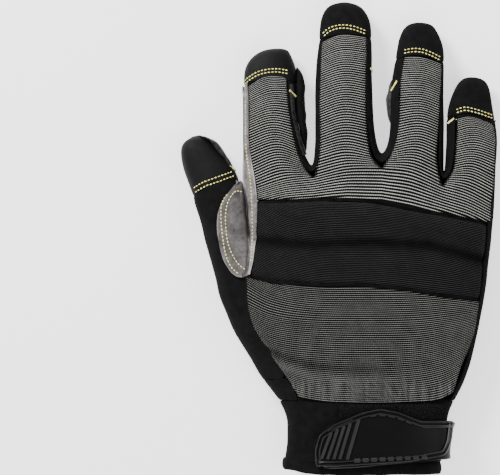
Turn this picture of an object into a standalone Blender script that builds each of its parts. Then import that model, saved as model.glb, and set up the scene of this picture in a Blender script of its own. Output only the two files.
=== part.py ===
"""A mechanic glove for the right hand, lying palm down, at its real size in metres.

Fingers point to +Y, the thumb to -X, and the back of the hand faces up. One coarse cage of the
whole glove is lofted through short tables of sections and smoothed. Each panel is then a wall
grown inwards from its own faces of that skin, so that neighbours meet at a named seam gap.
Patches, strap, loop pile, binding and pull loop are laid on the skin with a named clearance.
"""

import math
from collections import namedtuple

import bmesh
import bpy
from mathutils import Vector
from mathutils.bvhtree import BVHTree

# Palm and cuff
PALM_LENGTH = 0.1196
PALM_WIDTH = 0.131
PALM_HEIGHT = 0.0275
PALM_LIFT = 0.0016
PAD_RISE = 0.0034
CUFF_LENGTH = 0.0317
CUFF_LIFT = 0.0040

# Fingers and thumb
INDEX_LENGTH = 0.065
INDEX_WIDTH = 0.028
MIDDLE_LENGTH = 0.086
MIDDLE_WIDTH = 0.030
RING_LENGTH = 0.0762
RING_WIDTH = 0.028
LITTLE_LENGTH = 0.053
LITTLE_WIDTH = 0.026
FINGER_THICKNESS = 0.0185
THUMB_LENGTH = 0.0688
THUMB_WIDTH = 0.0265
THUMB_THICKNESS = 0.0200

# Walls and clearances
FABRIC_WALL = 0.0012
SUEDE_WALL = 0.0011
PAD_WALL = 0.0034
CUFF_WALL = 0.0022
SEAM_GAP = 0.0004
LAYER_GAP = 0.0006

# Patches of the palm, flat on what the glove lies on
PATCH_THICKNESS = 0.0011
PATCH_EDGE = 0.0002
PATCH_CURVE_STEPS = 3

# Suede oval in the web of the thumb
OVAL_LENGTH = 0.0500
OVAL_WIDTH = 0.0170
OVAL_THICKNESS = 0.0012

# Loop pile, strap, binding and pull loop
PILE_LENGTH = 0.0560
PILE_WIDTH = 0.0270
PILE_THICKNESS = 0.0014
STRAP_LENGTH = 0.0870
STRAP_WIDTH = 0.0312
STRAP_THICKNESS = 0.0024
STRAP_BORDER = 0.0020
STRAP_SINK = 0.0006
BINDING_LENGTH = 0.0056
BINDING_RISE = 0.0003
LOOP_WIDTH = 0.0160
LOOP_LENGTH = 0.0300
LOOP_WALL = 0.0014

# How round the sections are: 2 is an ellipse, more is boxier, and none is counted past FLAT_FROM
HAND_ROUNDNESS = 2.5
FINGER_ROUNDNESS = 2.3
FLAT_FROM = 0.985

# Edges sharper than this, in degrees, stay crisp
SHARP_ANGLE = 50

# Shares across the back where the columns of the palm cage run, from the left seam to the right
COLUMNS = (0.0, 0.108, 0.25, 0.392, 0.535, 0.667, 0.796, 0.904, 1.0)

# The line of the finger bases: how far each column lies ahead of it and how far ahead of the seam
# the web between two fingers lies, in palm lengths, and how far the skin dips there, in palm heights
BaseColumn = namedtuple("BaseColumn", "ahead dip web")
BASE_COLUMNS = (
    BaseColumn(-0.026, 0.0, 0),
    BaseColumn(0.000, 0.0, 0),
    BaseColumn(-0.012, 0.16, 0.028),
    BaseColumn(0.026, 0.0, 0),
    BaseColumn(0.032, 0.16, 0.038),
    BaseColumn(0.020, 0.0, 0),
    BaseColumn(-0.038, 0.16, 0.036),
    BaseColumn(-0.026, 0.0, 0),
    BaseColumn(-0.052, 0.0, 0),
)

# A section across the hand. left, middle and right are how far back it lies, in palm lengths.
# The four edges are in palm widths from the middle line, height in palm heights, and pad is the
# share of the pad's rise there.
HandRow = namedtuple(
    "HandRow", "left middle right side_left seam_left seam_right side_right height pad"
)
BASE_ROW = HandRow(0, 0, 0, -0.488, -0.449, 0.500, 0.512, 0.80, 0)
PALM_ROWS = (
    HandRow(0.124, 0.122, 0.222, -0.478, -0.431, 0.489, 0.500, 0.95, 0),
    HandRow(0.209, 0.215, 0.304, -0.468, -0.433, 0.483, 0.494, 0.98, 1),
    HandRow(0.296, 0.311, 0.391, -0.460, -0.439, 0.472, 0.483, 1.00, 0),
    HandRow(0.376, 0.404, 0.470, -0.500, -0.453, 0.464, 0.475, 1.00, 1),
    HandRow(0.457, 0.500, 0.550, -0.540, -0.466, 0.454, 0.465, 1.00, 0),
    HandRow(0.700, 0.722, 0.735, -0.520, -0.425, 0.422, 0.435, 0.98, 0),
    HandRow(0.917, 0.909, 0.917, -0.413, -0.302, 0.371, 0.388, 0.92, 0),
    HandRow(0.987, 1.002, 0.991, -0.353, -0.275, 0.331, 0.349, 0.84, 0),
)
# Sections of the cuff: left, middle and right are in cuff lengths behind the palm
CUFF_ROWS = (
    HandRow(0.46, 0.48, 0.47, -0.316, -0.285, 0.285, 0.313, 0.82, 0),
    HandRow(0.98, 1.00, 0.98, -0.331, -0.300, 0.274, 0.303, 0.84, 0),
)
# Rows of the palm between which the thumb grows out of its side
THUMB_START_ROW = 2
THUMB_END_ROW = 6
# How far in the flat underside starts, in palm widths, and how high the side line lies, in heights
UNDER_INSET = 0.042
SIDE_HEIGHT = 0.45
# Share of the pad's rise that is left at its two side seams
PAD_END_SHARE = 0.55
# How far past the palm patches the palm is held up off the floor
PATCH_MARGIN = 0.005

# A section of a finger: along is in finger lengths from its base, left and right are in finger
# widths from its middle line
FingerRow = namedtuple("FingerRow", "along left right")
Finger = namedtuple("Finger", "name length width lean seam_left seam_right rows")
FINGERS = (
    Finger("index", INDEX_LENGTH, INDEX_WIDTH, -2.7, 0.13, 0.15, (
        FingerRow(0.19, 0.67, 0.47),
        FingerRow(0.45, 0.64, 0.36),
        FingerRow(0.72, 0.60, 0.43),
        FingerRow(0.86, 0.55, 0.40),
        FingerRow(0.945, 0.40, 0.32),
        FingerRow(0.985, 0.22, 0.24),
    )),
    Finger("middle", MIDDLE_LENGTH, MIDDLE_WIDTH, -0.9, 0.05, 0.10, (
        FingerRow(0.23, 0.54, 0.48),
        FingerRow(0.51, 0.53, 0.47),
        FingerRow(0.78, 0.45, 0.47),
        FingerRow(0.89, 0.41, 0.44),
        FingerRow(0.96, 0.32, 0.32),
        FingerRow(0.987, 0.18, 0.16),
    )),
    Finger("ring", RING_LENGTH, RING_WIDTH, 3.1, 0.16, 0.05, (
        FingerRow(0.23, 0.47, 0.54),
        FingerRow(0.49, 0.52, 0.49),
        FingerRow(0.74, 0.44, 0.48),
        FingerRow(0.86, 0.41, 0.43),
        FingerRow(0.95, 0.32, 0.30),
        FingerRow(0.987, 0.18, 0.19),
    )),
    Finger("little", LITTLE_LENGTH, LITTLE_WIDTH, 2.2, 0.16, 0.05, (
        FingerRow(0.18, 0.51, 0.51),
        FingerRow(0.37, 0.51, 0.53),
        FingerRow(0.58, 0.51, 0.46),
        FingerRow(0.75, 0.47, 0.39),
        FingerRow(0.91, 0.34, 0.33),
        FingerRow(0.98, 0.20, 0.20),
    )),
)
# What the sections of all four fingers share: how thick each is and how high it lies, in finger
# thicknesses, from the base to the tip
FingerBody = namedtuple("FingerBody", "thick lift")
FINGER_BODY = (
    FingerBody(1.06, 0.10),
    FingerBody(1.02, 0.11),
    FingerBody(0.97, 0.04),
    FingerBody(0.90, 0.00),
    FingerBody(0.68, 0.10),
    FingerBody(0.38, 0.25),
)
CAP_ROW = 2
SECTION_ARCH = 0.14
FINGER_UNDER_INSET = 0.14

# A section of the thumb, between its web side and its outer side: along is in thumb lengths,
# across in thumb widths towards the outer side, thick and lift in thumb thicknesses
ThumbRow = namedtuple("ThumbRow", "web_along web_across outer_along outer_across thick lift")
THUMB_ROWS = (
    ThumbRow(0.11, -0.41, -0.40, 0.37, 1.12, 0.05),
    ThumbRow(0.17, -0.45, -0.11, 0.39, 1.08, 0.04),
    ThumbRow(0.31, -0.54, 0.20, 0.41, 1.03, 0.04),
    ThumbRow(0.59, -0.58, 0.56, 0.41, 0.97, 0.04),
    ThumbRow(0.77, -0.44, 0.77, 0.47, 0.90, 0.02),
    ThumbRow(0.92, -0.24, 0.94, 0.41, 0.70, 0.09),
    ThumbRow(0.97, -0.12, 0.985, 0.21, 0.42, 0.22),
)
THUMB_CAP_ROW = 3
THUMB_LEAN = -14.7
THUMB_ROOT_ACROSS = -0.536
THUMB_ROOT_BACK = 0.391
THUMB_COLUMNS = (0.08, 0.27, 0.5, 0.73, 0.92)

# Outlines of the palm patches: across in palm widths from the middle line, back in palm lengths
PatchPoint = namedtuple("PatchPoint", "across back")
FINGER_PATCH = (
    PatchPoint(-0.40, 0.11), PatchPoint(-0.375, 0.03), PatchPoint(-0.32, -0.02),
    PatchPoint(-0.27, -0.005), PatchPoint(-0.20, 0.03), PatchPoint(-0.14, -0.01),
    PatchPoint(-0.06, -0.045), PatchPoint(0.01, -0.03), PatchPoint(0.07, 0.02),
    PatchPoint(0.14, 0.00), PatchPoint(0.21, -0.01), PatchPoint(0.27, 0.04),
    PatchPoint(0.29, 0.14), PatchPoint(0.25, 0.21), PatchPoint(0.14, 0.225),
    PatchPoint(0.00, 0.215), PatchPoint(-0.15, 0.205), PatchPoint(-0.33, 0.215),
)
HEEL_PATCH = (
    PatchPoint(-0.285, 0.31), PatchPoint(-0.25, 0.27), PatchPoint(-0.14, 0.262),
    PatchPoint(0.00, 0.275), PatchPoint(0.16, 0.285), PatchPoint(0.29, 0.305),
    PatchPoint(0.38, 0.36), PatchPoint(0.405, 0.46), PatchPoint(0.385, 0.64),
    PatchPoint(0.335, 0.82), PatchPoint(0.27, 0.89), PatchPoint(0.17, 0.87),
    PatchPoint(0.11, 0.80), PatchPoint(0.085, 0.68), PatchPoint(0.04, 0.57),
    PatchPoint(-0.06, 0.455), PatchPoint(-0.17, 0.385), PatchPoint(-0.26, 0.345),
)
THUMB_PATCH = (
    PatchPoint(-0.33, 0.35), PatchPoint(-0.375, 0.39), PatchPoint(-0.355, 0.46),
    PatchPoint(-0.32, 0.57), PatchPoint(-0.285, 0.69), PatchPoint(-0.225, 0.77),
    PatchPoint(-0.14, 0.80), PatchPoint(-0.06, 0.77), PatchPoint(-0.015, 0.69),
    PatchPoint(-0.03, 0.59), PatchPoint(-0.10, 0.49), PatchPoint(-0.20, 0.41),
    PatchPoint(-0.28, 0.36),
)

# The oval in the web: along is in its lengths from its upper end, left and right in its widths
# from its middle line
OvalRow = namedtuple("OvalRow", "along left right")
OVAL_ROWS = (
    OvalRow(0.00, -0.10, 0.24),
    OvalRow(0.07, 0.02, 0.27),
    OvalRow(0.18, 0.26, 0.31),
    OvalRow(0.31, 0.40, 0.35),
    OvalRow(0.45, 0.42, 0.40),
    OvalRow(0.60, 0.35, 0.46),
    OvalRow(0.76, 0.24, 0.52),
    OvalRow(0.90, 0.07, 0.50),
    OvalRow(1.00, -0.12, 0.34),
)
OVAL_ACROSS = -0.541
OVAL_BACK = 0.052
OVAL_COLUMNS = 7
OVAL_STEPS = 10

# The strap from its free end round the little-finger side: along is in strap lengths, upper and
# lower in strap widths from its middle line, rise is the share of the pile it lies on
StrapRow = namedtuple("StrapRow", "along upper lower rise")
STRAP_ROWS = (
    StrapRow(0.00, -0.06, -0.40, 0.0),
    StrapRow(0.03, 0.10, -0.49, 0.5),
    StrapRow(0.10, 0.22, -0.50, 1.0),
    StrapRow(0.21, 0.34, -0.49, 1.0),
    StrapRow(0.30, 0.43, -0.47, 1.0),
    StrapRow(0.39, 0.48, -0.44, 1.0),
    StrapRow(0.50, 0.43, -0.42, 1.0),
    StrapRow(0.62, 0.30, -0.39, 1.0),
    StrapRow(0.75, 0.28, -0.36, 1.0),
    StrapRow(0.88, 0.26, -0.34, 1.0),
    StrapRow(1.00, 0.24, -0.32, 0.6),
)
STRAP_START = -0.206
STRAP_BACK = 0.57
STRAP_STEPS = 16
STRAP_ACROSS = 4
PILE_START = -0.111
PILE_BACK = 0.45
PILE_STEPS = 12

# The pull loop under the cuff
LOOP_ACROSS = -0.045
LOOP_BACK = 0.06
LOOP_STEPS = 6

BINDING_SIDES = 8

# Colour, roughness and metallic value of each finish
FINISHES = {
    "rib_fabric": ((0.16, 0.16, 0.14), 0.85),
    "pad_fabric": ((0.013, 0.013, 0.014), 0.8),
    "black_suede": ((0.012, 0.012, 0.013), 0.9),
    "grey_suede": ((0.31, 0.28, 0.30), 0.95),
    "smooth_leather": ((0.010, 0.010, 0.011), 0.5),
    "loop_pile": ((0.010, 0.010, 0.011), 1.0),
    "strap_rubber": ((0.020, 0.021, 0.023), 0.55),
    "red_webbing": ((0.58, 0.012, 0.012), 0.8),
}

Panel = namedtuple("Panel", "name finish wall")
PANELS = (
    Panel("back_panel_upper", "rib_fabric", FABRIC_WALL),
    Panel("knuckle_pad_upper", "pad_fabric", PAD_WALL),
    Panel("knuckle_pad_lower", "pad_fabric", PAD_WALL),
    Panel("back_panel_lower", "rib_fabric", FABRIC_WALL),
    Panel("index_side_patch", "grey_suede", SUEDE_WALL),
    Panel("side_little", "black_suede", SUEDE_WALL),
    Panel("fourchette_index_middle", "black_suede", SUEDE_WALL),
    Panel("fourchette_middle_ring", "black_suede", SUEDE_WALL),
    Panel("fourchette_ring_little", "black_suede", SUEDE_WALL),
    Panel("palm_panel", "black_suede", SUEDE_WALL),
    Panel("tip_index", "smooth_leather", SUEDE_WALL),
    Panel("tip_middle", "black_suede", SUEDE_WALL),
    Panel("tip_ring", "black_suede", SUEDE_WALL),
    Panel("tip_little", "black_suede", SUEDE_WALL),
    Panel("thumb_shell", "black_suede", SUEDE_WALL),
    Panel("thumb_cap", "smooth_leather", SUEDE_WALL),
    Panel("cuff", "black_suede", CUFF_WALL),
)
PANEL_NUMBERS = {panel.name: number for number, panel in enumerate(PANELS)}
BETWEEN_FINGERS = (
    "index_side_patch",
    "fourchette_index_middle",
    "fourchette_middle_ring",
    "fourchette_ring_little",
    "side_little",
)


def clear_scene():
    for obj in list(bpy.data.objects):
        bpy.data.objects.remove(obj, do_unlink=True)


def finish(name):
    """The material of one finish, made once."""
    material = bpy.data.materials.get(name)
    if material is None:
        colour, roughness = FINISHES[name]
        material = bpy.data.materials.new(name)
        material.use_nodes = True
        shader = material.node_tree.nodes["Principled BSDF"]
        shader.inputs["Base Color"].default_value = (*colour, 1.0)
        shader.inputs["Roughness"].default_value = roughness
        shader.inputs["Metallic"].default_value = 0.0
    return material


def add_part(name, mesh, finish_name, collection):
    mesh.materials.clear()
    mesh.materials.append(finish(finish_name))
    mesh.shade_smooth()
    mesh.set_sharp_from_angle(angle=math.radians(SHARP_ANGLE))
    part = bpy.data.objects.new(name, mesh)
    collection.objects.link(part)
    return part


def mix(start, end, share):
    return start + (end - start) * share


def swell(across, roundness):
    """Half height of a rounded section at a place from -1 to 1 across it, from 0 to 1."""
    return (1 - min(abs(across), FLAT_FROM) ** roundness) ** (1 / roundness)


def hump(share):
    """One smooth hump: 0 at a share of 0 and of 1, and 1 halfway."""
    return 4 * share * (1 - share)


def bend(left, middle, right, share):
    """A value on the smooth curve through its three named places."""
    return mix(left, right, share) + (middle - (left + right) / 2) * hump(share)


def hand_ring(cage, row, length, start, lift, base=False):
    """Vertices of one section across the hand: left side, top columns, right side, under columns."""
    left = row.side_left * PALM_WIDTH
    right = row.side_right * PALM_WIDTH
    middle = (left + right) / 2
    half = (right - left) / 2
    height = row.height * PALM_HEIGHT
    tops, unders = [], []
    for number, share in enumerate(COLUMNS):
        y = -start - length * bend(row.left, row.middle, row.right, share)
        dip = 0
        if base:
            y += BASE_COLUMNS[number].ahead * PALM_LENGTH
            dip = BASE_COLUMNS[number].dip * PALM_HEIGHT
        x = mix(row.seam_left, row.seam_right, share) * PALM_WIDTH
        pad = row.pad * PAD_RISE * (PAD_END_SHARE if share in (0.0, 1.0) else 1.0)
        z = lift + height * (1 + swell((x - middle) / half, HAND_ROUNDNESS)) / 2 + pad - dip
        tops.append(cage.verts.new((x, y, z)))
        under_x = mix(left + UNDER_INSET * PALM_WIDTH, right - UNDER_INSET * PALM_WIDTH, share)
        x = x if base and 0 < share < 1 else under_x
        unders.append(cage.verts.new((x, y, lift)))
    side = lift + SIDE_HEIGHT * height
    first = cage.verts.new((left, tops[0].co.y, side))
    last = cage.verts.new((right, tops[-1].co.y, side))
    return [first, *tops, last, *reversed(unders)]


def top_of(ring):
    return ring[1 : len(ring) // 2]


def under_of(ring):
    """Under columns in the order of the top ones."""
    return ring[: len(ring) // 2 : -1]


def loft(cage, first, second, panels):
    """Faces between two rings. A panel of None leaves its face out."""
    for number, panel in enumerate(panels):
        if panel is None:
            continue
        following = (number + 1) % len(first)
        face = cage.faces.new(
            (first[number], first[following], second[following], second[number])
        )
        face.material_index = PANEL_NUMBERS[panel]


def close_end(cage, ring, centres, panel):
    """Closes a ring over a row of centre points, one under each top column but the outer two."""
    top, under = top_of(ring), under_of(ring)
    row = [ring[0], *(cage.verts.new(point) for point in centres), ring[len(ring) // 2]]
    last = len(row) - 1
    for number in range(last):
        for edge in (top, under):
            face = cage.faces.new((row[number], row[number + 1], edge[number + 1], edge[number]))
            face.material_index = PANEL_NUMBERS[panel]


def rounded_ring(cage, left, right, forward, arch, insets, thick, lift):
    """A digit's section between its two side points. insets are shares across for the top points."""
    across = right - left
    base = left.copy()
    tops, unders = [], []
    for share in insets[0]:
        point = base + across * share + forward * arch * hump(share)
        point.z = lift + thick * (1 + swell(2 * share - 1, FINGER_ROUNDNESS)) / 2
        tops.append(cage.verts.new(point))
    for share in insets[1]:
        point = base + across * share
        point.z = lift + thick * (1 - swell(2 * share - 1, FINGER_ROUNDNESS)) / 2
        unders.append(cage.verts.new(point))
    side = Vector((0, 0, lift + thick / 2))
    first = cage.verts.new(left + side)
    last = cage.verts.new(right + side)
    return [first, *tops, last, *reversed(unders)]


def directions(lean):
    """Unit vectors along a digit and to its right, in plan."""
    turn = math.radians(lean)
    return Vector((math.sin(turn), math.cos(turn), 0)), Vector((math.cos(turn), -math.sin(turn), 0))


def add_finger(cage, finger, ring, sides):
    """Lofts one finger from its ring of base vertices. sides are the panels to its left and right."""
    forward, across = directions(finger.lean)
    root = top_of(ring)[1].co.copy()
    root.z = 0
    left_panel, right_panel = sides
    body = (
        left_panel, "back_panel_upper", "back_panel_upper", right_panel,
        right_panel, "palm_panel", "palm_panel", left_panel,
    )
    tip = (f"tip_{finger.name}",) * len(body)
    insets = (
        (finger.seam_left, 0.5, 1 - finger.seam_right),
        (FINGER_UNDER_INSET, 0.5, 1 - FINGER_UNDER_INSET),
    )
    for number, (row, shape) in enumerate(zip(finger.rows, FINGER_BODY)):
        middle = root + forward * row.along * finger.length
        arch = SECTION_ARCH * hump(row.along) * finger.width
        following = rounded_ring(
            cage,
            middle - across * row.left * finger.width,
            middle + across * row.right * finger.width,
            forward,
            arch,
            insets,
            shape.thick * FINGER_THICKNESS,
            shape.lift * FINGER_THICKNESS,
        )
        loft(cage, ring, following, tip if number > CAP_ROW else body)
        ring = following
    end = root + forward * finger.length
    end.z = (ring[0].co.z + ring[4].co.z) / 2
    close_end(cage, ring, [end], f"tip_{finger.name}")


def add_thumb(cage, ring):
    """Lofts the thumb from the ring of vertices around the hole in the side of the palm."""
    forward, across = directions(THUMB_LEAN)
    root = Vector((THUMB_ROOT_ACROSS * PALM_WIDTH, -THUMB_ROOT_BACK * PALM_LENGTH, 0))

    def place(along, outwards):
        return root + forward * along * THUMB_LENGTH - across * outwards * THUMB_WIDTH

    for number, row in enumerate(THUMB_ROWS):
        web = place(row.web_along, row.web_across)
        outer = place(row.outer_along, row.outer_across)
        along = max(0, (row.web_along + row.outer_along) / 2)
        following = rounded_ring(
            cage,
            web,
            outer,
            forward,
            SECTION_ARCH * hump(along) * THUMB_WIDTH,
            (THUMB_COLUMNS, THUMB_COLUMNS),
            row.thick * THUMB_THICKNESS,
            row.lift * THUMB_THICKNESS,
        )
        panel = "thumb_cap" if number > THUMB_CAP_ROW else "thumb_shell"
        loft(cage, ring, following, (panel,) * len(ring))
        ring = following
    last = THUMB_ROWS[-1]
    height = (last.lift + last.thick / 2) * THUMB_THICKNESS
    centres = []
    for share in THUMB_COLUMNS[1:-1]:
        outwards = mix(last.web_across, last.outer_across, share)
        centres.append(place(1.0, outwards) + Vector((0, 0, height)))
    close_end(cage, ring, centres, "thumb_cap")


def build_cage():
    cage = bmesh.new()
    base = hand_ring(cage, BASE_ROW, PALM_LENGTH, 0, PALM_LIFT, base=True)
    rings = [hand_ring(cage, row, PALM_LENGTH, 0, PALM_LIFT) for row in PALM_ROWS[:-1]]
    rings.append(hand_ring(cage, PALM_ROWS[-1], PALM_LENGTH, 0, CUFF_LIFT))
    columns = len(COLUMNS) - 1
    backs = (
        ["back_panel_upper"] + ["knuckle_pad_upper"] * 2 + ["knuckle_pad_lower"] * 2
        + ["back_panel_lower"] * 3
    )
    for number, back in enumerate(backs):
        left = "index_side_patch" if number <= THUMB_START_ROW else None
        if number > THUMB_END_ROW:
            left = "palm_panel"
        ring = base if number == 0 else rings[number - 1]
        panels = [left, *([back] * columns), "side_little", "side_little"]
        loft(cage, ring, rings[number], [*panels, *(["palm_panel"] * columns), left])
    ring = rings[-1]
    for row in CUFF_ROWS:
        following = hand_ring(cage, row, CUFF_LENGTH, PALM_LENGTH, CUFF_LIFT)
        loft(cage, ring, following, ["cuff"] * len(ring))
        ring = following

    hole = rings[THUMB_START_ROW : THUMB_END_ROW + 1]
    outer = [top_of(row)[0] for row in hole]
    inner = [under_of(row)[0] for row in hole]
    add_thumb(cage, [hole[0][0], *outer, hole[-1][0], *reversed(inner)])
    bmesh.ops.delete(cage, geom=[row[0] for row in hole[1:-1]], context="VERTS")

    tops, unders = top_of(base), under_of(base)
    webs = {}
    for column in (2, 4, 6):
        middle = (tops[column].co + unders[column].co) / 2
        middle.y += BASE_COLUMNS[column].web * PALM_LENGTH
        webs[column] = cage.verts.new(middle)
    webs[0], webs[columns] = base[0], base[columns + 2]
    for number, finger in enumerate(FINGERS):
        first = 2 * number
        ring = [webs[first], *tops[first : first + 3], webs[first + 2]]
        ring += reversed(unders[first : first + 3])
        add_finger(cage, finger, ring, BETWEEN_FINGERS[number : number + 2])
    bmesh.ops.recalc_face_normals(cage, faces=cage.faces)
    return cage


def smoothed(vert):
    """Where one level of subdivision puts a vertex of the cage."""
    if vert.is_boundary:
        ends = [e.other_vert(vert).co for e in vert.link_edges if e.is_boundary]
        return (vert.co * 6 + ends[0] + ends[1]) / 8
    count = len(vert.link_faces)
    faces = sum((f.calc_center_median() for f in vert.link_faces), Vector()) / count
    edges = sum(((vert.co + e.other_vert(vert).co) / 2 for e in vert.link_edges), Vector()) / count
    return (faces + edges * 2 + vert.co * (count - 3)) / count


def pass_through_sections(cage, rounds=12):
    """Pushes the cage out until its smooth surface passes through the places in the tables."""
    targets = {vert: vert.co.copy() for vert in cage.verts}
    for _ in range(rounds):
        moves = {vert: target - smoothed(vert) for vert, target in targets.items()}
        for vert, move in moves.items():
            vert.co += move


def build_skin():
    """The whole outer skin of the glove, each face numbered by its panel."""
    cage = build_cage()
    pass_through_sections(cage)
    mesh = bpy.data.meshes.new("skin")
    cage.to_mesh(mesh)
    cage.free()
    for _ in PANELS:
        mesh.materials.append(None)
    guide = bpy.data.objects.new("skin_guide", mesh)
    bpy.context.scene.collection.objects.link(guide)
    smooth = guide.modifiers.new("smooth", "SUBSURF")
    smooth.levels = 1
    smooth.render_levels = 1
    evaluated = guide.evaluated_get(bpy.context.evaluated_depsgraph_get())
    skin = bmesh.new()
    skin.from_mesh(evaluated.to_mesh())
    evaluated.to_mesh_clear()
    bpy.data.objects.remove(guide)
    flat_end = max(point.back for point in HEEL_PATCH) * PALM_LENGTH
    flat_start = -min(point.back for point in FINGER_PATCH) * PALM_LENGTH
    for vert in skin.verts:
        over_patches = -flat_end - PATCH_MARGIN < vert.co.y < flat_start + PATCH_MARGIN
        vert.co.z = max(vert.co.z, PALM_LIFT if over_patches else 0.0)
    skin.normal_update()
    out = skin.verts.layers.float_vector.new("out")
    for vert in skin.verts:
        vert[out] = vert.normal
    return skin


def draw_in(panel, distance):
    """Moves the border of an open panel into it, so that two panels at a seam keep a gap."""
    moves = {}
    for vert in panel.verts:
        inward = Vector()
        for edge in vert.link_edges:
            if not edge.is_boundary:
                continue
            face = edge.link_faces[0]
            along = (edge.verts[1].co - edge.verts[0].co).normalized()
            away = face.calc_center_median() - edge.verts[0].co
            inward += (away - along * away.dot(along)).normalized()
        if inward.length > 0:
            moves[vert] = inward.normalized() * distance * 2 / max(inward.length, 1)
    for vert, move in moves.items():
        vert.co += move


def grow_wall(sheet, wall):
    """Closes an open sheet into a wall that reaches inwards from it."""
    out = sheet.verts.layers.float_vector["out"]
    grown = bmesh.ops.extrude_face_region(sheet, geom=sheet.faces[:], use_keep_orig=True)
    for item in grown["geom"]:
        if isinstance(item, bmesh.types.BMVert):
            item.co -= item[out] * wall
    bmesh.ops.recalc_face_normals(sheet, faces=sheet.faces)


def mesh_of(name, shape):
    mesh = bpy.data.meshes.new(name)
    shape.to_mesh(mesh)
    shape.free()
    return mesh


def add_panels(skin, collection):
    for number, panel in enumerate(PANELS):
        sheet = skin.copy()
        others = [face for face in sheet.faces if face.material_index != number]
        bmesh.ops.delete(sheet, geom=others, context="FACES")
        for face in sheet.faces:
            face.material_index = 0
        draw_in(sheet, SEAM_GAP / 2)
        grow_wall(sheet, panel.wall)
        add_part(panel.name, mesh_of(panel.name, sheet), panel.finish, collection)


def add_palm_patch(name, outline, collection):
    """A suede patch with a smooth outline, lying flat under the palm."""
    curve = bpy.data.curves.new(name, "CURVE")
    curve.dimensions = "2D"
    curve.fill_mode = "BOTH"
    curve.resolution_u = PATCH_CURVE_STEPS
    curve.extrude = PATCH_THICKNESS / 2 - PATCH_EDGE
    curve.bevel_depth = PATCH_EDGE
    curve.bevel_resolution = 0
    curve.offset = -PATCH_EDGE
    spline = curve.splines.new("BEZIER")
    spline.bezier_points.add(len(outline) - 1)
    for knot, point in zip(spline.bezier_points, outline):
        knot.co = (point.across * PALM_WIDTH, -point.back * PALM_LENGTH, 0)
        knot.handle_left_type = "AUTO"
        knot.handle_right_type = "AUTO"
    spline.use_cyclic_u = True
    guide = bpy.data.objects.new(f"{name}_outline", curve)
    bpy.context.scene.collection.objects.link(guide)
    evaluated = guide.evaluated_get(bpy.context.evaluated_depsgraph_get())
    shape = bmesh.new()
    shape.from_mesh(bpy.data.meshes.new_from_object(evaluated))
    bpy.data.objects.remove(guide)
    bmesh.ops.remove_doubles(shape, verts=shape.verts, dist=PATCH_EDGE / 10)
    bmesh.ops.translate(shape, verts=shape.verts, vec=(0, 0, PATCH_THICKNESS / 2))
    bmesh.ops.recalc_face_normals(shape, faces=shape.faces)
    add_part(name, mesh_of(name, shape), "grey_suede", collection)


def sheet_through(rows):
    """An open sheet of faces through a grid of points, with its outward directions stored."""
    sheet = bmesh.new()
    grid = [[sheet.verts.new(point) for point in row] for row in rows]
    for first, second in zip(grid, grid[1:]):
        for number in range(len(first) - 1):
            sheet.faces.new((first[number], first[number + 1], second[number + 1], second[number]))
    bmesh.ops.recalc_face_normals(sheet, faces=sheet.faces)
    sheet.normal_update()
    if sum(face.normal.z * face.calc_area() for face in sheet.faces) < 0:
        bmesh.ops.reverse_faces(sheet, faces=sheet.faces)
        sheet.normal_update()
    out = sheet.verts.layers.float_vector.new("out")
    for vert in sheet.verts:
        vert[out] = vert.normal
    return sheet


def raise_sheet(sheet, heights):
    """Lifts each vertex of a sheet along its outward direction."""
    out = sheet.verts.layers.float_vector["out"]
    for vert, height in zip(sheet.verts, heights):
        vert.co += vert[out] * height


def tree_of(skin, *names):
    """A search tree of the faces of some panels."""
    shape = skin.copy()
    numbers = {PANEL_NUMBERS[name] for name in names}
    others = [face for face in shape.faces if face.material_index not in numbers]
    bmesh.ops.delete(shape, geom=others, context="FACES")
    tree = BVHTree.FromBMesh(shape)
    shape.free()
    return tree


def row_between(rows, share):
    """A row of a table worked out between its neighbours."""
    for first, second in zip(rows, rows[1:]):
        if share <= second.along:
            part = (share - first.along) / (second.along - first.along)
            return type(first)(*(mix(a, b, part) for a, b in zip(first, second)))
    return rows[-1]


def add_thumb_oval(skin, collection):
    tree = tree_of(skin, "thumb_shell", "knuckle_pad_lower", "knuckle_pad_upper", "palm_panel")
    centre = OVAL_ACROSS * PALM_WIDTH
    rows = []
    for step in range(OVAL_STEPS + 1):
        row = row_between(OVAL_ROWS, step / OVAL_STEPS)
        y = -OVAL_BACK * PALM_LENGTH - row.along * OVAL_LENGTH
        points = []
        for number in range(OVAL_COLUMNS):
            across = mix(-row.left, row.right, number / (OVAL_COLUMNS - 1))
            start = Vector((centre + across * OVAL_WIDTH, y, 2 * PALM_HEIGHT))
            below = tree.ray_cast(start, Vector((0, 0, -1)))[0]
            points.append(below or tree.find_nearest(start)[0])
        rows.append(points)
    sheet = sheet_through(rows)
    raise_sheet(sheet, [LAYER_GAP + OVAL_THICKNESS] * len(sheet.verts))
    grow_wall(sheet, OVAL_THICKNESS)
    add_part("thumb_patch", mesh_of("thumb_patch", sheet), "grey_suede", collection)


def cuff_point(tree, start, reach, y):
    """The place on the cuff at a distance to the right of start, over the top and round the side."""
    half = CUFF_ROWS[0].height * PALM_HEIGHT / 2
    turn_at = CUFF_ROWS[0].side_right * PALM_WIDTH - half
    x = start * PALM_WIDTH + reach
    over = max(0, x - turn_at)
    angle = math.pi / 2 - over / half
    origin = Vector((min(x, turn_at), y, CUFF_LIFT + half))
    return tree.ray_cast(origin, Vector((math.cos(angle), 0, math.sin(angle))))[0]


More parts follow.
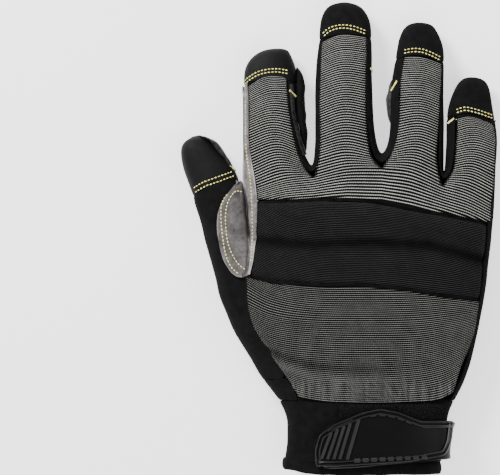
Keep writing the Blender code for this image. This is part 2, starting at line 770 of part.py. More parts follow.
def add_strap(skin, collection):
    tree = tree_of(skin, "cuff", "back_panel_lower", "side_little", "palm_panel")
    centre = -PALM_LENGTH - STRAP_BACK * CUFF_LENGTH
    cuff_end = -PALM_LENGTH - CUFF_ROWS[-1].left * CUFF_LENGTH
    rows, heights = [], []
    for step in range(STRAP_STEPS + 1):
        row = row_between(STRAP_ROWS, step / STRAP_STEPS)
        points = []
        for number in range(STRAP_ACROSS + 1):
            across = mix(row.lower, row.upper, number / STRAP_ACROSS)
            y = max(centre + across * STRAP_WIDTH, cuff_end + LAYER_GAP)
            point = cuff_point(tree, STRAP_START, row.along * STRAP_LENGTH, y)
            point.y = centre + across * STRAP_WIDTH
            points.append(point)
            pile = row.rise * (PILE_THICKNESS + LAYER_GAP)
            heights.append(LAYER_GAP + pile + STRAP_THICKNESS)
        rows.append(points)
    sheet = sheet_through(rows)
    raise_sheet(sheet, heights)
    face_count = len(sheet.faces)
    grow_wall(sheet, STRAP_THICKNESS)
    sheet.faces.ensure_lookup_table()
    top = sheet.faces[:face_count]
    bmesh.ops.inset_region(
        sheet, faces=top, thickness=STRAP_BORDER, depth=-STRAP_SINK, use_even_offset=True
    )
    add_part("wrist_strap", mesh_of("wrist_strap", sheet), "strap_rubber", collection)


def add_loop_field(skin, collection):
    tree = tree_of(skin, "cuff", "back_panel_lower")
    rows = []
    for step in range(PILE_STEPS + 1):
        points = []
        for side in (-0.5, 0, 0.5):
            y = -PALM_LENGTH - PILE_BACK * CUFF_LENGTH + side * PILE_WIDTH
            points.append(cuff_point(tree, PILE_START, step / PILE_STEPS * PILE_LENGTH, y))
        rows.append(points)
    sheet = sheet_through(rows)
    raise_sheet(sheet, [LAYER_GAP + PILE_THICKNESS] * len(sheet.verts))
    grow_wall(sheet, PILE_THICKNESS)
    add_part("loop_field", mesh_of("loop_field", sheet), "loop_pile", collection)


def add_binding(skin, collection):
    """The rolled edge of the cuff, as a ring of rounded sections behind its open end."""
    out = skin.verts.layers.float_vector["out"]
    edges = [edge for edge in skin.edges if edge.is_boundary]
    vert = edges[0].verts[0]
    loop = [vert]
    edge = edges[0]
    while edge.other_vert(vert) is not loop[0]:
        vert = edge.other_vert(vert)
        loop.append(vert)
        edge = next(e for e in vert.link_edges if e.is_boundary and e is not edge)
    ring = bmesh.new()
    sections = []
    for vert in loop[::2]:
        outward = Vector((vert[out].x, 0, vert[out].z)).normalized()
        half = CUFF_WALL / 2 + BINDING_RISE
        centre = vert.co - outward * CUFF_WALL / 2
        centre.y -= BINDING_LENGTH / 2 + SEAM_GAP
        section = []
        for side in range(BINDING_SIDES):
            angle = math.tau * (side + 0.5) / BINDING_SIDES
            point = centre + outward * half * math.cos(angle) / math.cos(math.pi / BINDING_SIDES)
            point.y += BINDING_LENGTH / 2 * math.sin(angle)
            section.append(ring.verts.new(point))
        sections.append(section)
    for number, section in enumerate(sections):
        following = sections[(number + 1) % len(sections)]
        for side in range(BINDING_SIDES):
            beside = (side + 1) % BINDING_SIDES
            ring.faces.new((section[side], section[beside], following[beside], following[side]))
    bmesh.ops.recalc_face_normals(ring, faces=ring.faces)
    add_part("cuff_binding", mesh_of("cuff_binding", ring), "black_suede", collection)


def add_pull_loop(collection):
    """Flat webbing under the cuff, folded back on itself at its end."""
    x = LOOP_ACROSS * PALM_WIDTH
    start = -PALM_LENGTH - LOOP_BACK * CUFF_LENGTH
    fold = (CUFF_LIFT - LAYER_GAP - LOOP_WALL) / 2
    middle = fold + LOOP_WALL / 2
    path = [(start, middle + fold)]
    for step in range(LOOP_STEPS + 1):
        angle = math.pi / 2 - math.pi * step / LOOP_STEPS
        y = start - LOOP_LENGTH + fold - fold * math.cos(angle)
        path.append((y, middle + fold * math.sin(angle)))
    path.append((start, middle - fold))
    mesh = bpy.data.meshes.new("pull_loop")
    sheet = bmesh.new()
    edge = [[sheet.verts.new((x + side * LOOP_WIDTH, y, z)) for side in (-0.5, 0.5)] for y, z in path]
    for first, second in zip(edge, edge[1:]):
        sheet.faces.new((first[0], first[1], second[1], second[0]))
    sheet.to_mesh(mesh)
    sheet.free()
    loop = add_part("pull_loop", mesh, "red_webbing", collection)
    wall = loop.modifiers.new("webbing", "SOLIDIFY")
    wall.thickness = LOOP_WALL
    wall.offset = 0
    wall.use_even_offset = True


def set_down(collection):
    """Moves the finished glove so that the middle of its bounding box's bottom is the origin."""
    bpy.context.view_layer.update()
    graph = bpy.context.evaluated_depsgraph_get()
    corners = []
    for part in collection.objects:
        mesh = part.evaluated_get(graph).to_mesh()
        corners += [vert.co.copy() for vert in mesh.vertices]
        part.evaluated_get(graph).to_mesh_clear()
    low = Vector(min(corner[axis] for corner in corners) for axis in range(3))
    high = Vector(max(corner[axis] for corner in corners) for axis in range(3))
    shift = Vector((-(low.x + high.x) / 2, -(low.y + high.y) / 2, -low.z))
    for part in collection.objects:
        for vert in part.data.vertices:
            vert.co += shift


def main():
    clear_scene()
    collection = bpy.data.collections.new("mechanic_glove")
    bpy.context.scene.collection.children.link(collection)
    skin = build_skin()
    add_panels(skin, collection)
    add_palm_patch("palm_patch_fingers", FINGER_PATCH, collection)
    add_palm_patch("palm_patch_heel", HEEL_PATCH, collection)
    add_palm_patch("palm_patch_thumb", THUMB_PATCH, collection)
    add_thumb_oval(skin, collection)
    add_loop_field(skin, collection)
    add_strap(skin, collection)
    add_binding(skin, collection)
    add_pull_loop(collection)
    skin.free()
    set_down(collection)


main()
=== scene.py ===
"""The glove as it looks: ribbed stretch back, padded knuckle band, suede palm, stitches and strap.

Places that come from the photograph are written in its pixels and brought into metres by spot().
"""

import math

import bmesh
import bpy
import numpy as np
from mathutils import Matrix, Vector, noise
from mathutils.bvhtree import BVHTree
from mathutils.kdtree import KDTree


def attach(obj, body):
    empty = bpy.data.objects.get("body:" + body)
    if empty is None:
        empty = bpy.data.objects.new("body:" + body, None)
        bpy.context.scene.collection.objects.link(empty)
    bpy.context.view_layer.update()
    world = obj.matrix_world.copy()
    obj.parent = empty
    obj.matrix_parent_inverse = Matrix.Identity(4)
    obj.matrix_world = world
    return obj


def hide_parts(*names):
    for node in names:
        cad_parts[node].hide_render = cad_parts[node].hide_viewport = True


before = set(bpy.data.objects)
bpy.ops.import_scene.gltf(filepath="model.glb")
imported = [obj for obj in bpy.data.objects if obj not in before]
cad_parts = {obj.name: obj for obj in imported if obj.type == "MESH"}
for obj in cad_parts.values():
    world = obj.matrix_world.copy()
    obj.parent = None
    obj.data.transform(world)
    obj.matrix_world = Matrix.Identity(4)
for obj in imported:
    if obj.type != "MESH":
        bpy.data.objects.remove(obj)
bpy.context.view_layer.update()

# The photograph's scale, and the pixel that lies over the row frame's origin
PIXEL = 0.00052
ORIGIN_ACROSS = 339.1
ORIGIN_DOWN = 238.0
PHOTO_WIDTH = 500
PHOTO_HEIGHT = 475

# Cloth
SHARP_RIM = 55
FABRIC = 0.0010
SUEDE = 0.0010
CUFF_WALL = 0.0020
STRAP_WALL = 0.0018
MERGE = 0.00002
RIB_PITCH = 0.00110
FINGER_PITCH = 0.00124
BAND_PITCH = 0.00094
RIB_HEIGHT = 0.00023
BAND_RIB_HEIGHT = 0.00015
SAMPLES_PER_RIB = 4
FINGER_COLUMNS = 14
LOWER_COLUMNS = 108
BASE_RIBS = 12
FINGER_FAN = 0.22
SEAM_DEPTH = 0.0007
SEAM_REACH = 0.0009
GATHER_DEPTH = 0.0007
SEAM_SHADE = 3.0
SEAM_SHADE_REACH = 0.0005
RIM_WIDTH = 0.0007
SHARP_SHADE = 55
FLAT_ENOUGH = 50
SQUARE_ENOUGH = 60
SEWN_TOGETHER = 0.00003
THREAD_PITCH = 0.0012
FOLD_IN_SEAM = 0.0025
PATCH_PITCH = 0.0022
PATCH_BLUR = 30
PATCH_SEAM = 0.0004
PANEL_SEAM = 0.0003

# Depth and size of the soft dents in each cloth
FINGER_DENTS = 0.0004, 0.012
BAND_DENTS = 0.0005, 0.016
WRIST_DENTS = 0.0007, 0.022
ROLL_DENTS = 0.0005, 0.008
OVAL_DENTS = 0.0004, 0.008
FOLD_DENTS = 0.0006, 0.005

# Thread
STITCH_LENGTH = 0.00135
STITCH_PITCH = 0.00185
STITCH_RADIUS = 0.00032
STITCH_LIFT = 0.00012
STITCH_SIDES = 6
STITCH_RINGS = 4
TACK_LIFT = 0.0002
ROW_APART = 0.0017
STRIP_LIFT = 0.0006
TACK_PITCH = 0.00045


def spot(px, py, z=0.0):
    """A pixel of the photograph as a place in the row frame, at a height."""
    return Vector(((px - ORIGIN_ACROSS) * PIXEL, (ORIGIN_DOWN - py) * PIXEL, z))


def pixel_of(place):
    return place.x / PIXEL + ORIGIN_ACROSS, ORIGIN_DOWN - place.y / PIXEL


# Materials


class Socket:
    """An output of a material's node tree, with arithmetic."""

    def __init__(self, tree, socket):
        self.tree = tree
        self.socket = socket

    def node(self, kind, settings=(), values=(), output=0):
        """A node after its settings and its inputs' values or links, as one of its outputs."""
        made = self.tree.nodes.new(kind)
        for name, value in dict(settings).items():
            setattr(made, name, value)
        for name, value in dict(values).items():
            if isinstance(value, Socket):
                self.tree.links.new(value.socket, made.inputs[name])
            else:
                made.inputs[name].default_value = value
        return Socket(self.tree, made.outputs[output])

    def math(self, operation, *others):
        values = {number: value for number, value in enumerate((self, *others))}
        return self.node("ShaderNodeMath", {"operation": operation}, values)

    def __add__(self, other):
        return self.math("ADD", other)

    def __mul__(self, other):
        return self.math("MULTIPLY", other)

    def __pow__(self, other):
        return self.math("POWER", other)

    def clamped(self, low, high):
        """The share of the way from low to high, from 0 to 1."""
        return self.node(
            "ShaderNodeMapRange",
            {"clamp": True},
            {"Value": self, "From Min": low, "From Max": high},
        )

    def between(self, first, second):
        """The colour this share of the way from the first colour to the second."""
        return self.node(
            "ShaderNodeMix",
            {"data_type": "RGBA"},
            {0: self, 6: first, 7: second},
            output=2,
        )


class Finish:
    """A material under construction: its shader and the coordinates that its patterns use."""

    def __init__(self, name, roughness, sheen=0.0, specular=0.5):
        self.material = bpy.data.materials.new(name)
        self.material.use_nodes = True
        self.tree = self.material.node_tree
        self.shader = self.tree.nodes["Principled BSDF"]
        self.shader.inputs["Roughness"].default_value = roughness
        self.shader.inputs["Sheen Weight"].default_value = sheen
        self.shader.inputs["Specular IOR Level"].default_value = specular
        start = self.tree.nodes.new("ShaderNodeTexCoord")
        self.place = Socket(self.tree, start.outputs["Object"])

    def attribute(self, name):
        return self.place.node("ShaderNodeAttribute", {"attribute_name": name}, output=2)

    def noise(self, scale, detail=3.0):
        """Noise in steps of a size in metres, from 0 to 1."""
        return self.place.node(
            "ShaderNodeTexNoise", {}, {"Vector": self.place, "Scale": 1 / scale, "Detail": detail}
        )

    def cells(self, scale):
        return self.place.node(
            "ShaderNodeTexVoronoi", {}, {"Vector": self.place, "Scale": 1 / scale}
        )

    def colour(self, value):
        self.tree.links.new(value.socket, self.shader.inputs["Base Color"])

    def rough(self, value):
        self.tree.links.new(value.socket, self.shader.inputs["Roughness"])

    def bump(self, height, distance, strength=1.0):
        made = self.place.node(
            "ShaderNodeBump", {}, {"Strength": strength, "Distance": distance, "Height": height}
        )
        self.tree.links.new(made.socket, self.shader.inputs["Normal"])


SUEDE_TINT = (1.06, 0.97, 0.98)
RUBBER_TINT = (1, 1.02, 1.06)


def grey(value, tint=(1, 1, 1)):
    return (value * tint[0], value * tint[1], value * tint[2], 1)


def rib_finish(name, low, high):
    """Ribbed stretch cloth: painted shade between the ribs and painted light on their crests, each rib a
    twisted row of loops.
    """
    made = Finish(name, 0.9, specular=0.1)
    rib = made.attribute("rib")
    across = made.attribute("across")
    # Painted light on each rib's crest, painted shade in the ground between the ribs
    crest = ((rib * math.tau).math("COSINE") * 0.5 + 0.5) ** 5.8
    twist = ((across + rib * 0.5) * math.tau).math("SINE") * 0.5 + 0.5
    wear_and_highlight = made.noise(0.006, 4).clamped(0.35, 0.65)
    # The shading layer adds painted shade at seams and in the valley and fold, and painted light on the
    # gathers
    light = crest * (twist * 0.6 + 0.5) * (wear_and_highlight * 0.25 + 0.85) + made.attribute("painted_shading_and_cut_edge") * 0.35
    made.colour(light.clamped(0.04, 1.0).between(low, high))
    made.bump(twist * crest + made.noise(0.0002, 2) * 0.4, 0.00012, 0.6)
    return made.material


def black_suede():
    made = Finish("black_suede", 0.95, specular=0.08)
    nap = made.noise(0.0035, 5).clamped(0.3, 0.7)
    fine = made.noise(0.00035, 2)
    made.colour((nap * 0.6 + fine * 0.5).between(grey(0.0015), grey(0.006, (1, 1, 1.05))))
    made.bump(fine, 0.0001, 0.5)
    return made.material


def suede_finish(name, low, high):
    """Grey suede, blotched and slightly purple, lighter along a cut edge."""
    made = Finish(name, 0.95, specular=0.1)
    nap = made.noise(0.0016, 5).clamped(0.34, 0.66)
    blotch = made.noise(0.006, 3).clamped(0.3, 0.7)
    fine = made.noise(0.0003, 2)
    share = nap * 0.22 + blotch * 0.4 + fine * 0.24 + made.attribute("painted_shading_and_cut_edge") * 0.6
    made.colour(share.clamped(0.1, 1.3).between(grey(low, SUEDE_TINT), grey(high, SUEDE_TINT)))
    made.bump(fine + nap * 0.6, 0.00014, 0.6)
    return made.material


def smooth_leather():
    made = Finish("smooth_leather", 0.6, specular=0.12)
    grain = made.cells(0.0007)
    made.colour(made.noise(0.004, 4).between(grey(0.0012), grey(0.004)))
    made.rough(made.noise(0.003, 3) * 0.2 + 0.56)
    made.bump(grain, 0.00012, 0.5)
    return made.material


def pile_finish():
    made = Finish("loop_pile", 1.0, specular=0.05)
    fuzz = made.noise(0.0006, 4).clamped(0.35, 0.7)
    made.colour(fuzz.between(grey(0.001), grey(0.014)))
    made.bump(fuzz, 0.0005, 0.9)
    return made.material


def strap_finish(name, low, high, shine):
    made = Finish(name, 0.5, specular=shine)
    grain = made.noise(0.0004, 3)
    made.colour(made.noise(0.01, 3).between(grey(low, RUBBER_TINT), grey(high, RUBBER_TINT)))
    made.rough(grain * 0.15 + 0.38)
    made.bump(grain, 0.00004, 0.4)
    return made.material


def side_leather():
    """Leather of the turned edges, painted greyer than the panels as a highlight on their lit faces, in
    blotches.
    """
    made = Finish("side_leather", 0.6, specular=0.25)
    wear_and_highlight = made.noise(0.002, 4).clamped(0.3, 0.7)
    made.colour(wear_and_highlight.between(grey(0.006), grey(0.034, (1, 1, 1.03))))
    made.bump(made.noise(0.0005, 3), 0.0001, 0.5)
    return made.material


def webbing_finish():
    made = Finish("red_webbing", 0.8, sheen=0.2, specular=0.3)
    along = made.place.node("ShaderNodeSeparateXYZ", {}, {0: made.place}, output=1)
    weave = (along * 3500).math("SINE")
    made.colour((weave * 0.5 + 0.5).between((0.25, 0.004, 0.004, 1), (0.6, 0.012, 0.01, 1)))
    made.bump(weave, 0.0001, 0.7)
    return made.material


def thread_finish():
    made = Finish("thread", 0.6, specular=0.4)
    twist = made.noise(0.0015, 2).clamped(0.35, 0.65)
    made.colour(twist.between((0.62, 0.56, 0.10, 1), (1.0, 0.96, 0.42, 1)))
    return made.material


def floor_finish():
    made = Finish("pale_floor", 0.9, specular=0.1)
    made.colour(made.noise(0.3, 2).between(grey(0.86), grey(0.9)))
    made.shader.inputs["Emission Color"].default_value = (1, 1, 1, 1)
    made.shader.inputs["Emission Strength"].default_value = 1.2
    return made.material


FINISH = {
    # Each rib cloth runs from painted shade between its ribs to painted light on its crests
    "rib_fabric": rib_finish("rib_fabric", grey(0.0006), grey(0.52, (1.0, 1.0, 0.93))),
    "dark_rib_fabric": rib_finish("dark_rib_fabric", grey(0.0006), grey(0.25, (1.0, 1.01, 0.95))),
    "pad_fabric": rib_finish("pad_fabric", grey(0.0006), grey(0.048, (1, 1, 1.03))),
    "black_suede": black_suede(),
    "grey_suede": suede_finish("grey_suede", 0.032, 0.22),
    "pale_suede": suede_finish("pale_suede", 0.06, 0.42),
    "smooth_leather": smooth_leather(),
    # Greyer leather for the side folds and edges, painted as a highlight on their lit faces
    "side_leather": side_leather(),
    "loop_pile": pile_finish(),
    "strap_rubber": strap_finish("strap_rubber", 0.0008, 0.002, 0.1),
    # A lighter copy of the strap's rubber, as painted light on the raised relief
    "relief_rubber_painted_light": strap_finish("relief_rubber_painted_light", 0.004, 0.009, 0.3),
    "red_webbing": webbing_finish(),
    "thread": thread_finish(),
}

# Shapes


def merged(name):
    """A copy of a node's mesh with its triangles joined to quads."""
    shape = bmesh.new()
    shape.from_mesh(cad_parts[name].data)
    bmesh.ops.remove_doubles(shape, verts=shape.verts, dist=MERGE)
    bmesh.ops.join_triangles(
        shape,
        faces=shape.faces[:],
        angle_face_threshold=math.radians(FLAT_ENOUGH),
        angle_shape_threshold=math.radians(SQUARE_ENOUGH),
    )
    return shape


def outer_skin(name):
    """The outward faces of a node's wall, without its rim and its inner side."""
    shape = merged(name)
    folded = name.startswith("fourchette")
    left = set(shape.faces)
    best, size = [], 0
    while left:
        start = left.pop()
        group, front = {start}, [start]
        while front:
            for edge in front.pop().edges:
                turn = edge.calc_face_angle_signed(0)
                if abs(turn) > math.radians(SHARP_RIM) and not (folded and turn < 0):
                    continue
                for other in edge.link_faces:
                    if other in left:
                        left.discard(other)
                        group.add(other)
                        front.append(other)
        area = sum(face.calc_area() for face in group)
        if area > size:
            best, size = group, area
    bmesh.ops.delete(shape, geom=[f for f in shape.faces if f not in best], context="FACES")
    return shape


def joined(whole, part):
    """Adds a part to a whole and lets go of the part."""
    mesh = bpy.data.meshes.new("part")
    part.to_mesh(mesh)
    part.free()
    whole.from_mesh(mesh)
    bpy.data.meshes.remove(mesh)


def softened(vert):
    """Where one level of subdivision puts a vertex."""
    if vert.is_boundary:
        ends = [e.other_vert(vert).co for e in vert.link_edges if e.is_boundary]
        if len(vert.link_faces) == 1 or len(ends) != 2:
            return vert.co
        return (vert.co * 6 + ends[0] + ends[1]) / 8
    count = len(vert.link_faces)
    faces = sum((f.calc_center_median() for f in vert.link_faces), Vector()) / count
    edges = sum(((vert.co + e.other_vert(vert).co) / 2 for e in vert.link_edges), Vector()) / count
    return (faces + edges * 2 + vert.co * (count - 3)) / count


def firmed(shape, rounds=5):
    """Swells a shape so that smoothing it doesn't shrink it."""
    targets = {vert: vert.co.copy() for vert in shape.verts if vert.link_faces}
    for _ in range(rounds):
        moves = {vert: target - softened(vert) for vert, target in targets.items()}
        for vert, move in moves.items():
            vert.co += move


def smoothed(shape, levels):
    """The shape after some levels of subdivision, its size and corners kept."""
    firmed(shape)
    mesh = bpy.data.meshes.new("smoothing")
    shape.to_mesh(mesh)
    shape.free()
    guide = bpy.data.objects.new("smoothing", mesh)
    bpy.context.scene.collection.objects.link(guide)
    smooth = guide.modifiers.new("smooth", "SUBSURF")
    smooth.levels = levels
    smooth.render_levels = levels
    smooth.boundary_smooth = "PRESERVE_CORNERS"
    finer = baked(guide)
    bpy.data.objects.remove(guide)
    shape = bmesh.new()
    shape.from_mesh(finer)
    return shape


def baked(obj):
    """The object's mesh with its modifiers made real."""
    graph = bpy.context.evaluated_depsgraph_get()
    return bpy.data.meshes.new_from_object(obj.evaluated_get(graph))


def ways_out(shape, tree=None):
    """The way out of the cloth at each vertex, from a smooth skin below it if there is one."""
    if tree is not None:
        return {vert: tree.find_nearest(vert.co)[1] for vert in shape.verts}
    shape.normal_update()
    return {vert: vert.normal.copy() for vert in shape.verts}


def off_border(shape):
    """How far each vertex is from the sheet's open border."""
    border = [vert for vert in shape.verts if vert.is_boundary]
    tree = KDTree(len(border))
    for number, vert in enumerate(border):
        tree.insert(vert.co, number)
    tree.balance()
    return {vert: tree.find(vert.co)[2] for vert in shape.verts}


def roll_edges(shape, depth=SEAM_DEPTH, reach=SEAM_REACH, tree=None):
    """Sinks the open border of a sheet, as a seam pulls it in."""
    away = off_border(shape)
    for vert, way in ways_out(shape, tree).items():
        vert.co -= way * depth * math.exp(-((away[vert] / reach) ** 2))


def wrinkle(shape, amount, size, stretch=(1, 1, 1), seed=0, tree=None):
    """Soft dents and folds along the normals, of a size in metres."""
    for vert, way in ways_out(shape, tree).items():
        place = Vector(part * along / size for part, along in zip(vert.co, stretch))
        place.z += seed * 7.3
        vert.co += way * amount * noise.noise(place)


def piece(name, shape, finish, nodes, wall=0.0, ribs=None):
    """A finished piece of the glove, closed into a wall where it is an open sheet."""
    mesh = bpy.data.meshes.new(name)
    outside = len(shape.verts)
    shape.to_mesh(mesh)
    shape.free()
    made = bpy.data.objects.new(name, mesh)
    bpy.context.scene.collection.objects.link(made)
    if wall:
        solid = made.modifiers.new("wall", "SOLIDIFY")
        solid.thickness = wall
        solid.offset = -1
        made.data = baked(made)
        made.modifiers.clear()
        made.data.name = name
    if ribs:
        rib_up(made.data, outside, *ribs)
    made.data.materials.clear()
    made.data.materials.append(FINISH[finish])
    made.data.shade_smooth()
    made.data.set_sharp_from_angle(angle=math.radians(SHARP_SHADE))
    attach(made, "root")
    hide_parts(*nodes)
    return made


def catmull(values, place):
    """Values along a smooth curve through the rows of an array, at places counted in rows."""
    values = np.asarray(values, float)
    last = len(values) - 1
    place = np.clip(np.asarray(place, float), 0, last)
    first = np.minimum(place.astype(int), last - 1)
    part = (place - first).reshape(-1, *([1] * (values.ndim - 1)))
    before = np.where(
        (first > 0).reshape(part.shape),
        values[np.maximum(first - 1, 0)],
        2 * values[first] - values[first + 1],
    )
    after = np.where(
        (first + 2 <= last).reshape(part.shape),
        values[np.minimum(first + 2, last)],
        2 * values[first + 1] - values[first],
    )
    start, end = values[first], values[first + 1]
    bend = before - 2.5 * start + 2 * end - after / 2
    swing = 1.5 * (start - end) + (after - before) / 2
    return start + part * ((end - before) / 2 + part * (bend + part * swing))


def curve(line, count, inset=0.0):
    """Even steps of a smooth curve through a line's points, its ends cut back by a share."""
    last = len(line) - 1
    return catmull(np.asarray(line, float), np.linspace(inset * last, (1 - inset) * last, count))


def lengths_along(points):
    """How far along a line each of its points lies."""
    return np.concatenate([[0], np.cumsum(np.linalg.norm(np.diff(points, axis=0), axis=1))])


def tree_of(names):
    """A search tree of some nodes' smooth outer skins."""
    whole = bmesh.new()
    for name in names:
        joined(whole, smoothed(outer_skin(name), 2))
    tree = BVHTree.FromBMesh(whole)
    whole.free()
    return tree


UP = Vector((0, 0, 1))
ABOVE = 0.06
MEDIAN_ROWS = 9
GAP_STEPS = ((0, 0), (0.0006, 0), (-0.0006, 0), (0, 0.0006), (0, -0.0006))


def height_on(tree, x, y):
    """How high the skin lies at a place, without falling through a seam."""
    found = []
    for dx, dy in GAP_STEPS:
        hit = tree.ray_cast(Vector((x + dx, y + dy, ABOVE)), -UP)[0]
        if hit is not None:
            found.append(hit.z)
    if not found:
        return None
    best = max(found)
    centre = tree.ray_cast(Vector((x, y, ABOVE)), -UP)[0]
    if centre is None or centre.z < best - FOLD_IN_SEAM:
        return sum(sorted(found)[-2:]) / min(2, len(found))
    return centre.z


def grid_sheet(places, heights, ribs, threads):
    """A sheet of faces over rows of places, with the rib and the loop that each point lies on."""
    rows, columns = places.shape[:2]
    shape = bmesh.new()
    bmesh.ops.create_grid(shape, x_segments=columns - 1, y_segments=rows - 1, size=1)
    rib = shape.verts.layers.float.new("rib")
    across = shape.verts.layers.float.new("across")
    for vert in shape.verts:
        column = round((vert.co.x + 1) / 2 * (columns - 1))
        row = rows - 1 - round((vert.co.y + 1) / 2 * (rows - 1))
        vert.co = spot(*places[row, column], heights[row, column])
        vert[rib] = ribs[row, column]
        vert[across] = threads[row, column]
    shape.normal_update()
    if sum(face.normal.z for face in shape.faces) < 0:
        bmesh.ops.reverse_faces(shape, faces=shape.faces)
    shape.normal_update()
    return shape


def heights_of(tree, places, blur=4):
    """How high the skin lies under each place, evened out along the columns."""
    rows, columns = places.shape[:2]
    heights = np.full((rows, columns), np.nan)
    for row in range(rows):
        for column in range(columns):
            place = spot(*places[row, column])
            found = height_on(tree, place.x, place.y)
            if found is not None:
                heights[row, column] = found
        good = ~np.isnan(heights[row])
        heights[row] = np.interp(np.arange(columns), np.flatnonzero(good), heights[row][good])
    window = np.pad(heights, ((MEDIAN_ROWS // 2, MEDIAN_ROWS // 2), (0, 0)), mode="edge")
    heights = np.median([window[row : row + rows] for row in range(MEDIAN_ROWS)], axis=0)
    for _ in range(blur):
        heights[1:-1] = (heights[:-2] + 2 * heights[1:-1] + heights[2:]) / 4
    return heights


def threads_of(places):
    """Which loop of its rib each place lies on."""
    steps = np.linalg.norm(np.diff(places, axis=1), axis=2) * PIXEL / THREAD_PITCH
    return np.concatenate([np.zeros((len(places), 1)), np.cumsum(steps, axis=1)], axis=1)


# A vertex layer carries painted shade and painted light into the ribbed cloths' colour, and the lighter cut
# edge of suede patches
def shade_seams(shape):
    """Marks where cloth dips into a seam, so that it is dark there."""
    painted_shading_and_cut_edge = shape.verts.layers.float.get("painted_shading_and_cut_edge") or shape.verts.layers.float.new("painted_shading_and_cut_edge")
    for vert, away in off_border(shape).items():
        vert[painted_shading_and_cut_edge] -= SEAM_SHADE * math.exp(-((away / SEAM_SHADE_REACH) ** 2))


def rib_up(mesh, count, height, tree):
    """Lifts the crests of the ribs and sinks the ground between them, on a wall's outer side."""
    shape = bmesh.new()
    shape.from_mesh(mesh)
    shape.verts.ensure_lookup_table()
    rib = shape.verts.layers.float["rib"]
    for vert in shape.verts[:count]:
        vert.co += tree.find_nearest(vert.co)[1] * height * math.cos(math.tau * vert[rib])
    shape.to_mesh(mesh)
    shape.free()


def clipped(places, ribs, line, below):
    """Ends the ribs at a line of pixels, above it or below it, each where it meets the line."""
    places, ribs = places.copy(), ribs.copy()
    order = range(len(places)) if below else range(len(places) - 1, -1, -1)
    for column in range(places.shape[1]):
        last = None
        for row in order:
            x, y = places[row, column]
            edge = line_at(line, x)
            if last is None and (y > edge if below else y < edge):
                last = (x, edge), ribs[row, column]
            if last is not None:
                places[row, column], ribs[row, column] = last
    return places, ribs


def rows_between(lines, pitch, columns, fan=0.0):
    """Rows of places through lines of pixels, a few to a rib, and the rib that each lies on."""
    lines = np.asarray(lines, float)
    middle = lines[:, lines.shape[1] // 2]
    along = lengths_along(middle)
    count = max(1, round(along[-1] * PIXEL / pitch))
    steps = np.linspace(0, 1, count * SAMPLES_PER_RIB + 1)
    steps = along[-1] * steps * (1 - fan + fan * steps)
    rows = catmull(lines, np.interp(steps, along, np.arange(len(along))))
    share = np.linspace(0, lines.shape[1] - 1, columns + 1)
    places = np.stack([catmull(row, share) for row in rows])
    ribs = np.arange(len(steps)) / SAMPLES_PER_RIB
    return places, np.repeat(ribs[:, None], columns + 1, axis=1)


# Lines of ribs across each finger in the photograph, from the cap to the base: left, middle, right
FINGER_LINES = {
    "index": (
        ((246, 86.5), (265, 75.5), (288.5, 75.5)),
        ((247, 103), (270, 93.5), (289, 93.5)),
        ((246.4, 128), (270.5, 119.5), (292.5, 123)),
        ((247, 152), (275, 142), (298, 149)),
        ((250.4, 172), (279, 161), (305.5, 167)),
        ((253.6, 190), (285, 180), (313.5, 176.5)),
    ),
    "middle": (
        ((320, 41.5), (341, 33.5), (368, 36)),
        ((319, 60), (342, 51.5), (369, 54)),
        ((317.5, 85), (343, 77), (368, 80)),
        ((317.2, 110), (343, 101.5), (368, 105)),
        ((318, 135), (344, 127), (369, 131)),
        ((317, 157), (345, 150), (372.5, 155)),
        ((313.5, 176.5), (347, 168), (381.5, 167)),
    ),
    "ring": (
        ((403, 55.5), (422, 56), (443.5, 63)),
        ((399.5, 75), (422, 74.5), (443.5, 82)),
        ((397.8, 97), (421, 96), (442.5, 103)),
        ((397, 118), (420, 115), (441, 122)),
        ((394.5, 138), (418, 134), (439.5, 141)),
        ((389, 154), (415, 150), (438, 159)),
        ((381.5, 167), (412, 171), (442.5, 185)),
    ),
    "little": (
        ((456, 117.5), (471, 115.5), (497, 124)),
        ((455.5, 132), (475, 128.5), (498.2, 137)),
        ((454, 152), (474.5, 149), (497.4, 156)),
        ((451.5, 170), (472, 168), (496.4, 179)),
        ((442.5, 185), (467, 192), (493.8, 206)),
    ),
}
# Where the ribs below the finger bases end up, past the band's upper edge
BASE_END = (
    (253.6, 212), (285, 206), (313.5, 204), (347, 203), (381.5, 205), (412, 211), (442.5, 218), (467, 226),
    (494, 238),
)
BASE_NARROWS = 0.006
BAND_TOP = (
    (255, 200.5), (298.6, 199.4), (315, 198), (347, 198.5), (372, 200), (410, 207.6),
    (449, 214), (492, 223.5),
)
BAND_BOTTOM = ((246, 276), (272.6, 283), (315, 286), (361, 286), (410, 291), (443, 297), (483, 301))
BAND_LINES = (
    ((253.8, 183), (285, 195), (315, 198), (347, 198), (381, 201), (430, 209), (491.5, 220)),
    ((253.8, 203.5), (285, 217), (315, 222), (347, 224), (381, 226), (430, 232), (490, 245)),
    ((253, 224.6), (285, 238), (315, 243.5), (347, 244.5), (381, 244.5), (430, 248), (487.5, 263)),
    ((250.6, 246), (280, 257), (315, 264), (350, 266), (385, 267), (430, 271), (486, 281)),
    ((248, 265.4), (276, 277), (315, 286), (355, 288), (390, 291), (435, 297), (483.5, 301)),
    ((246.5, 282), (276, 294), (315, 304), (355, 307), (390, 309), (435, 313), (482, 317)),
)
VALLEY = ((240, 236), (255.8, 240), (285, 243.5), (315, 245), (343, 244), (372, 243), (430, 246), (495, 264))
VALLEY_DEPTH = 0.0016
VALLEY_WIDTH = 5.0
VALLEY_SHADE_WIDTH = 5.5
VALLEY_SHADE = 1.5
BAND_COLUMNS = 60
BAND_BLUR = 24
BAND_SEAM = 0.0020
BAND_SEAM_REACH = 0.0022
BAND_WALL = 0.0022
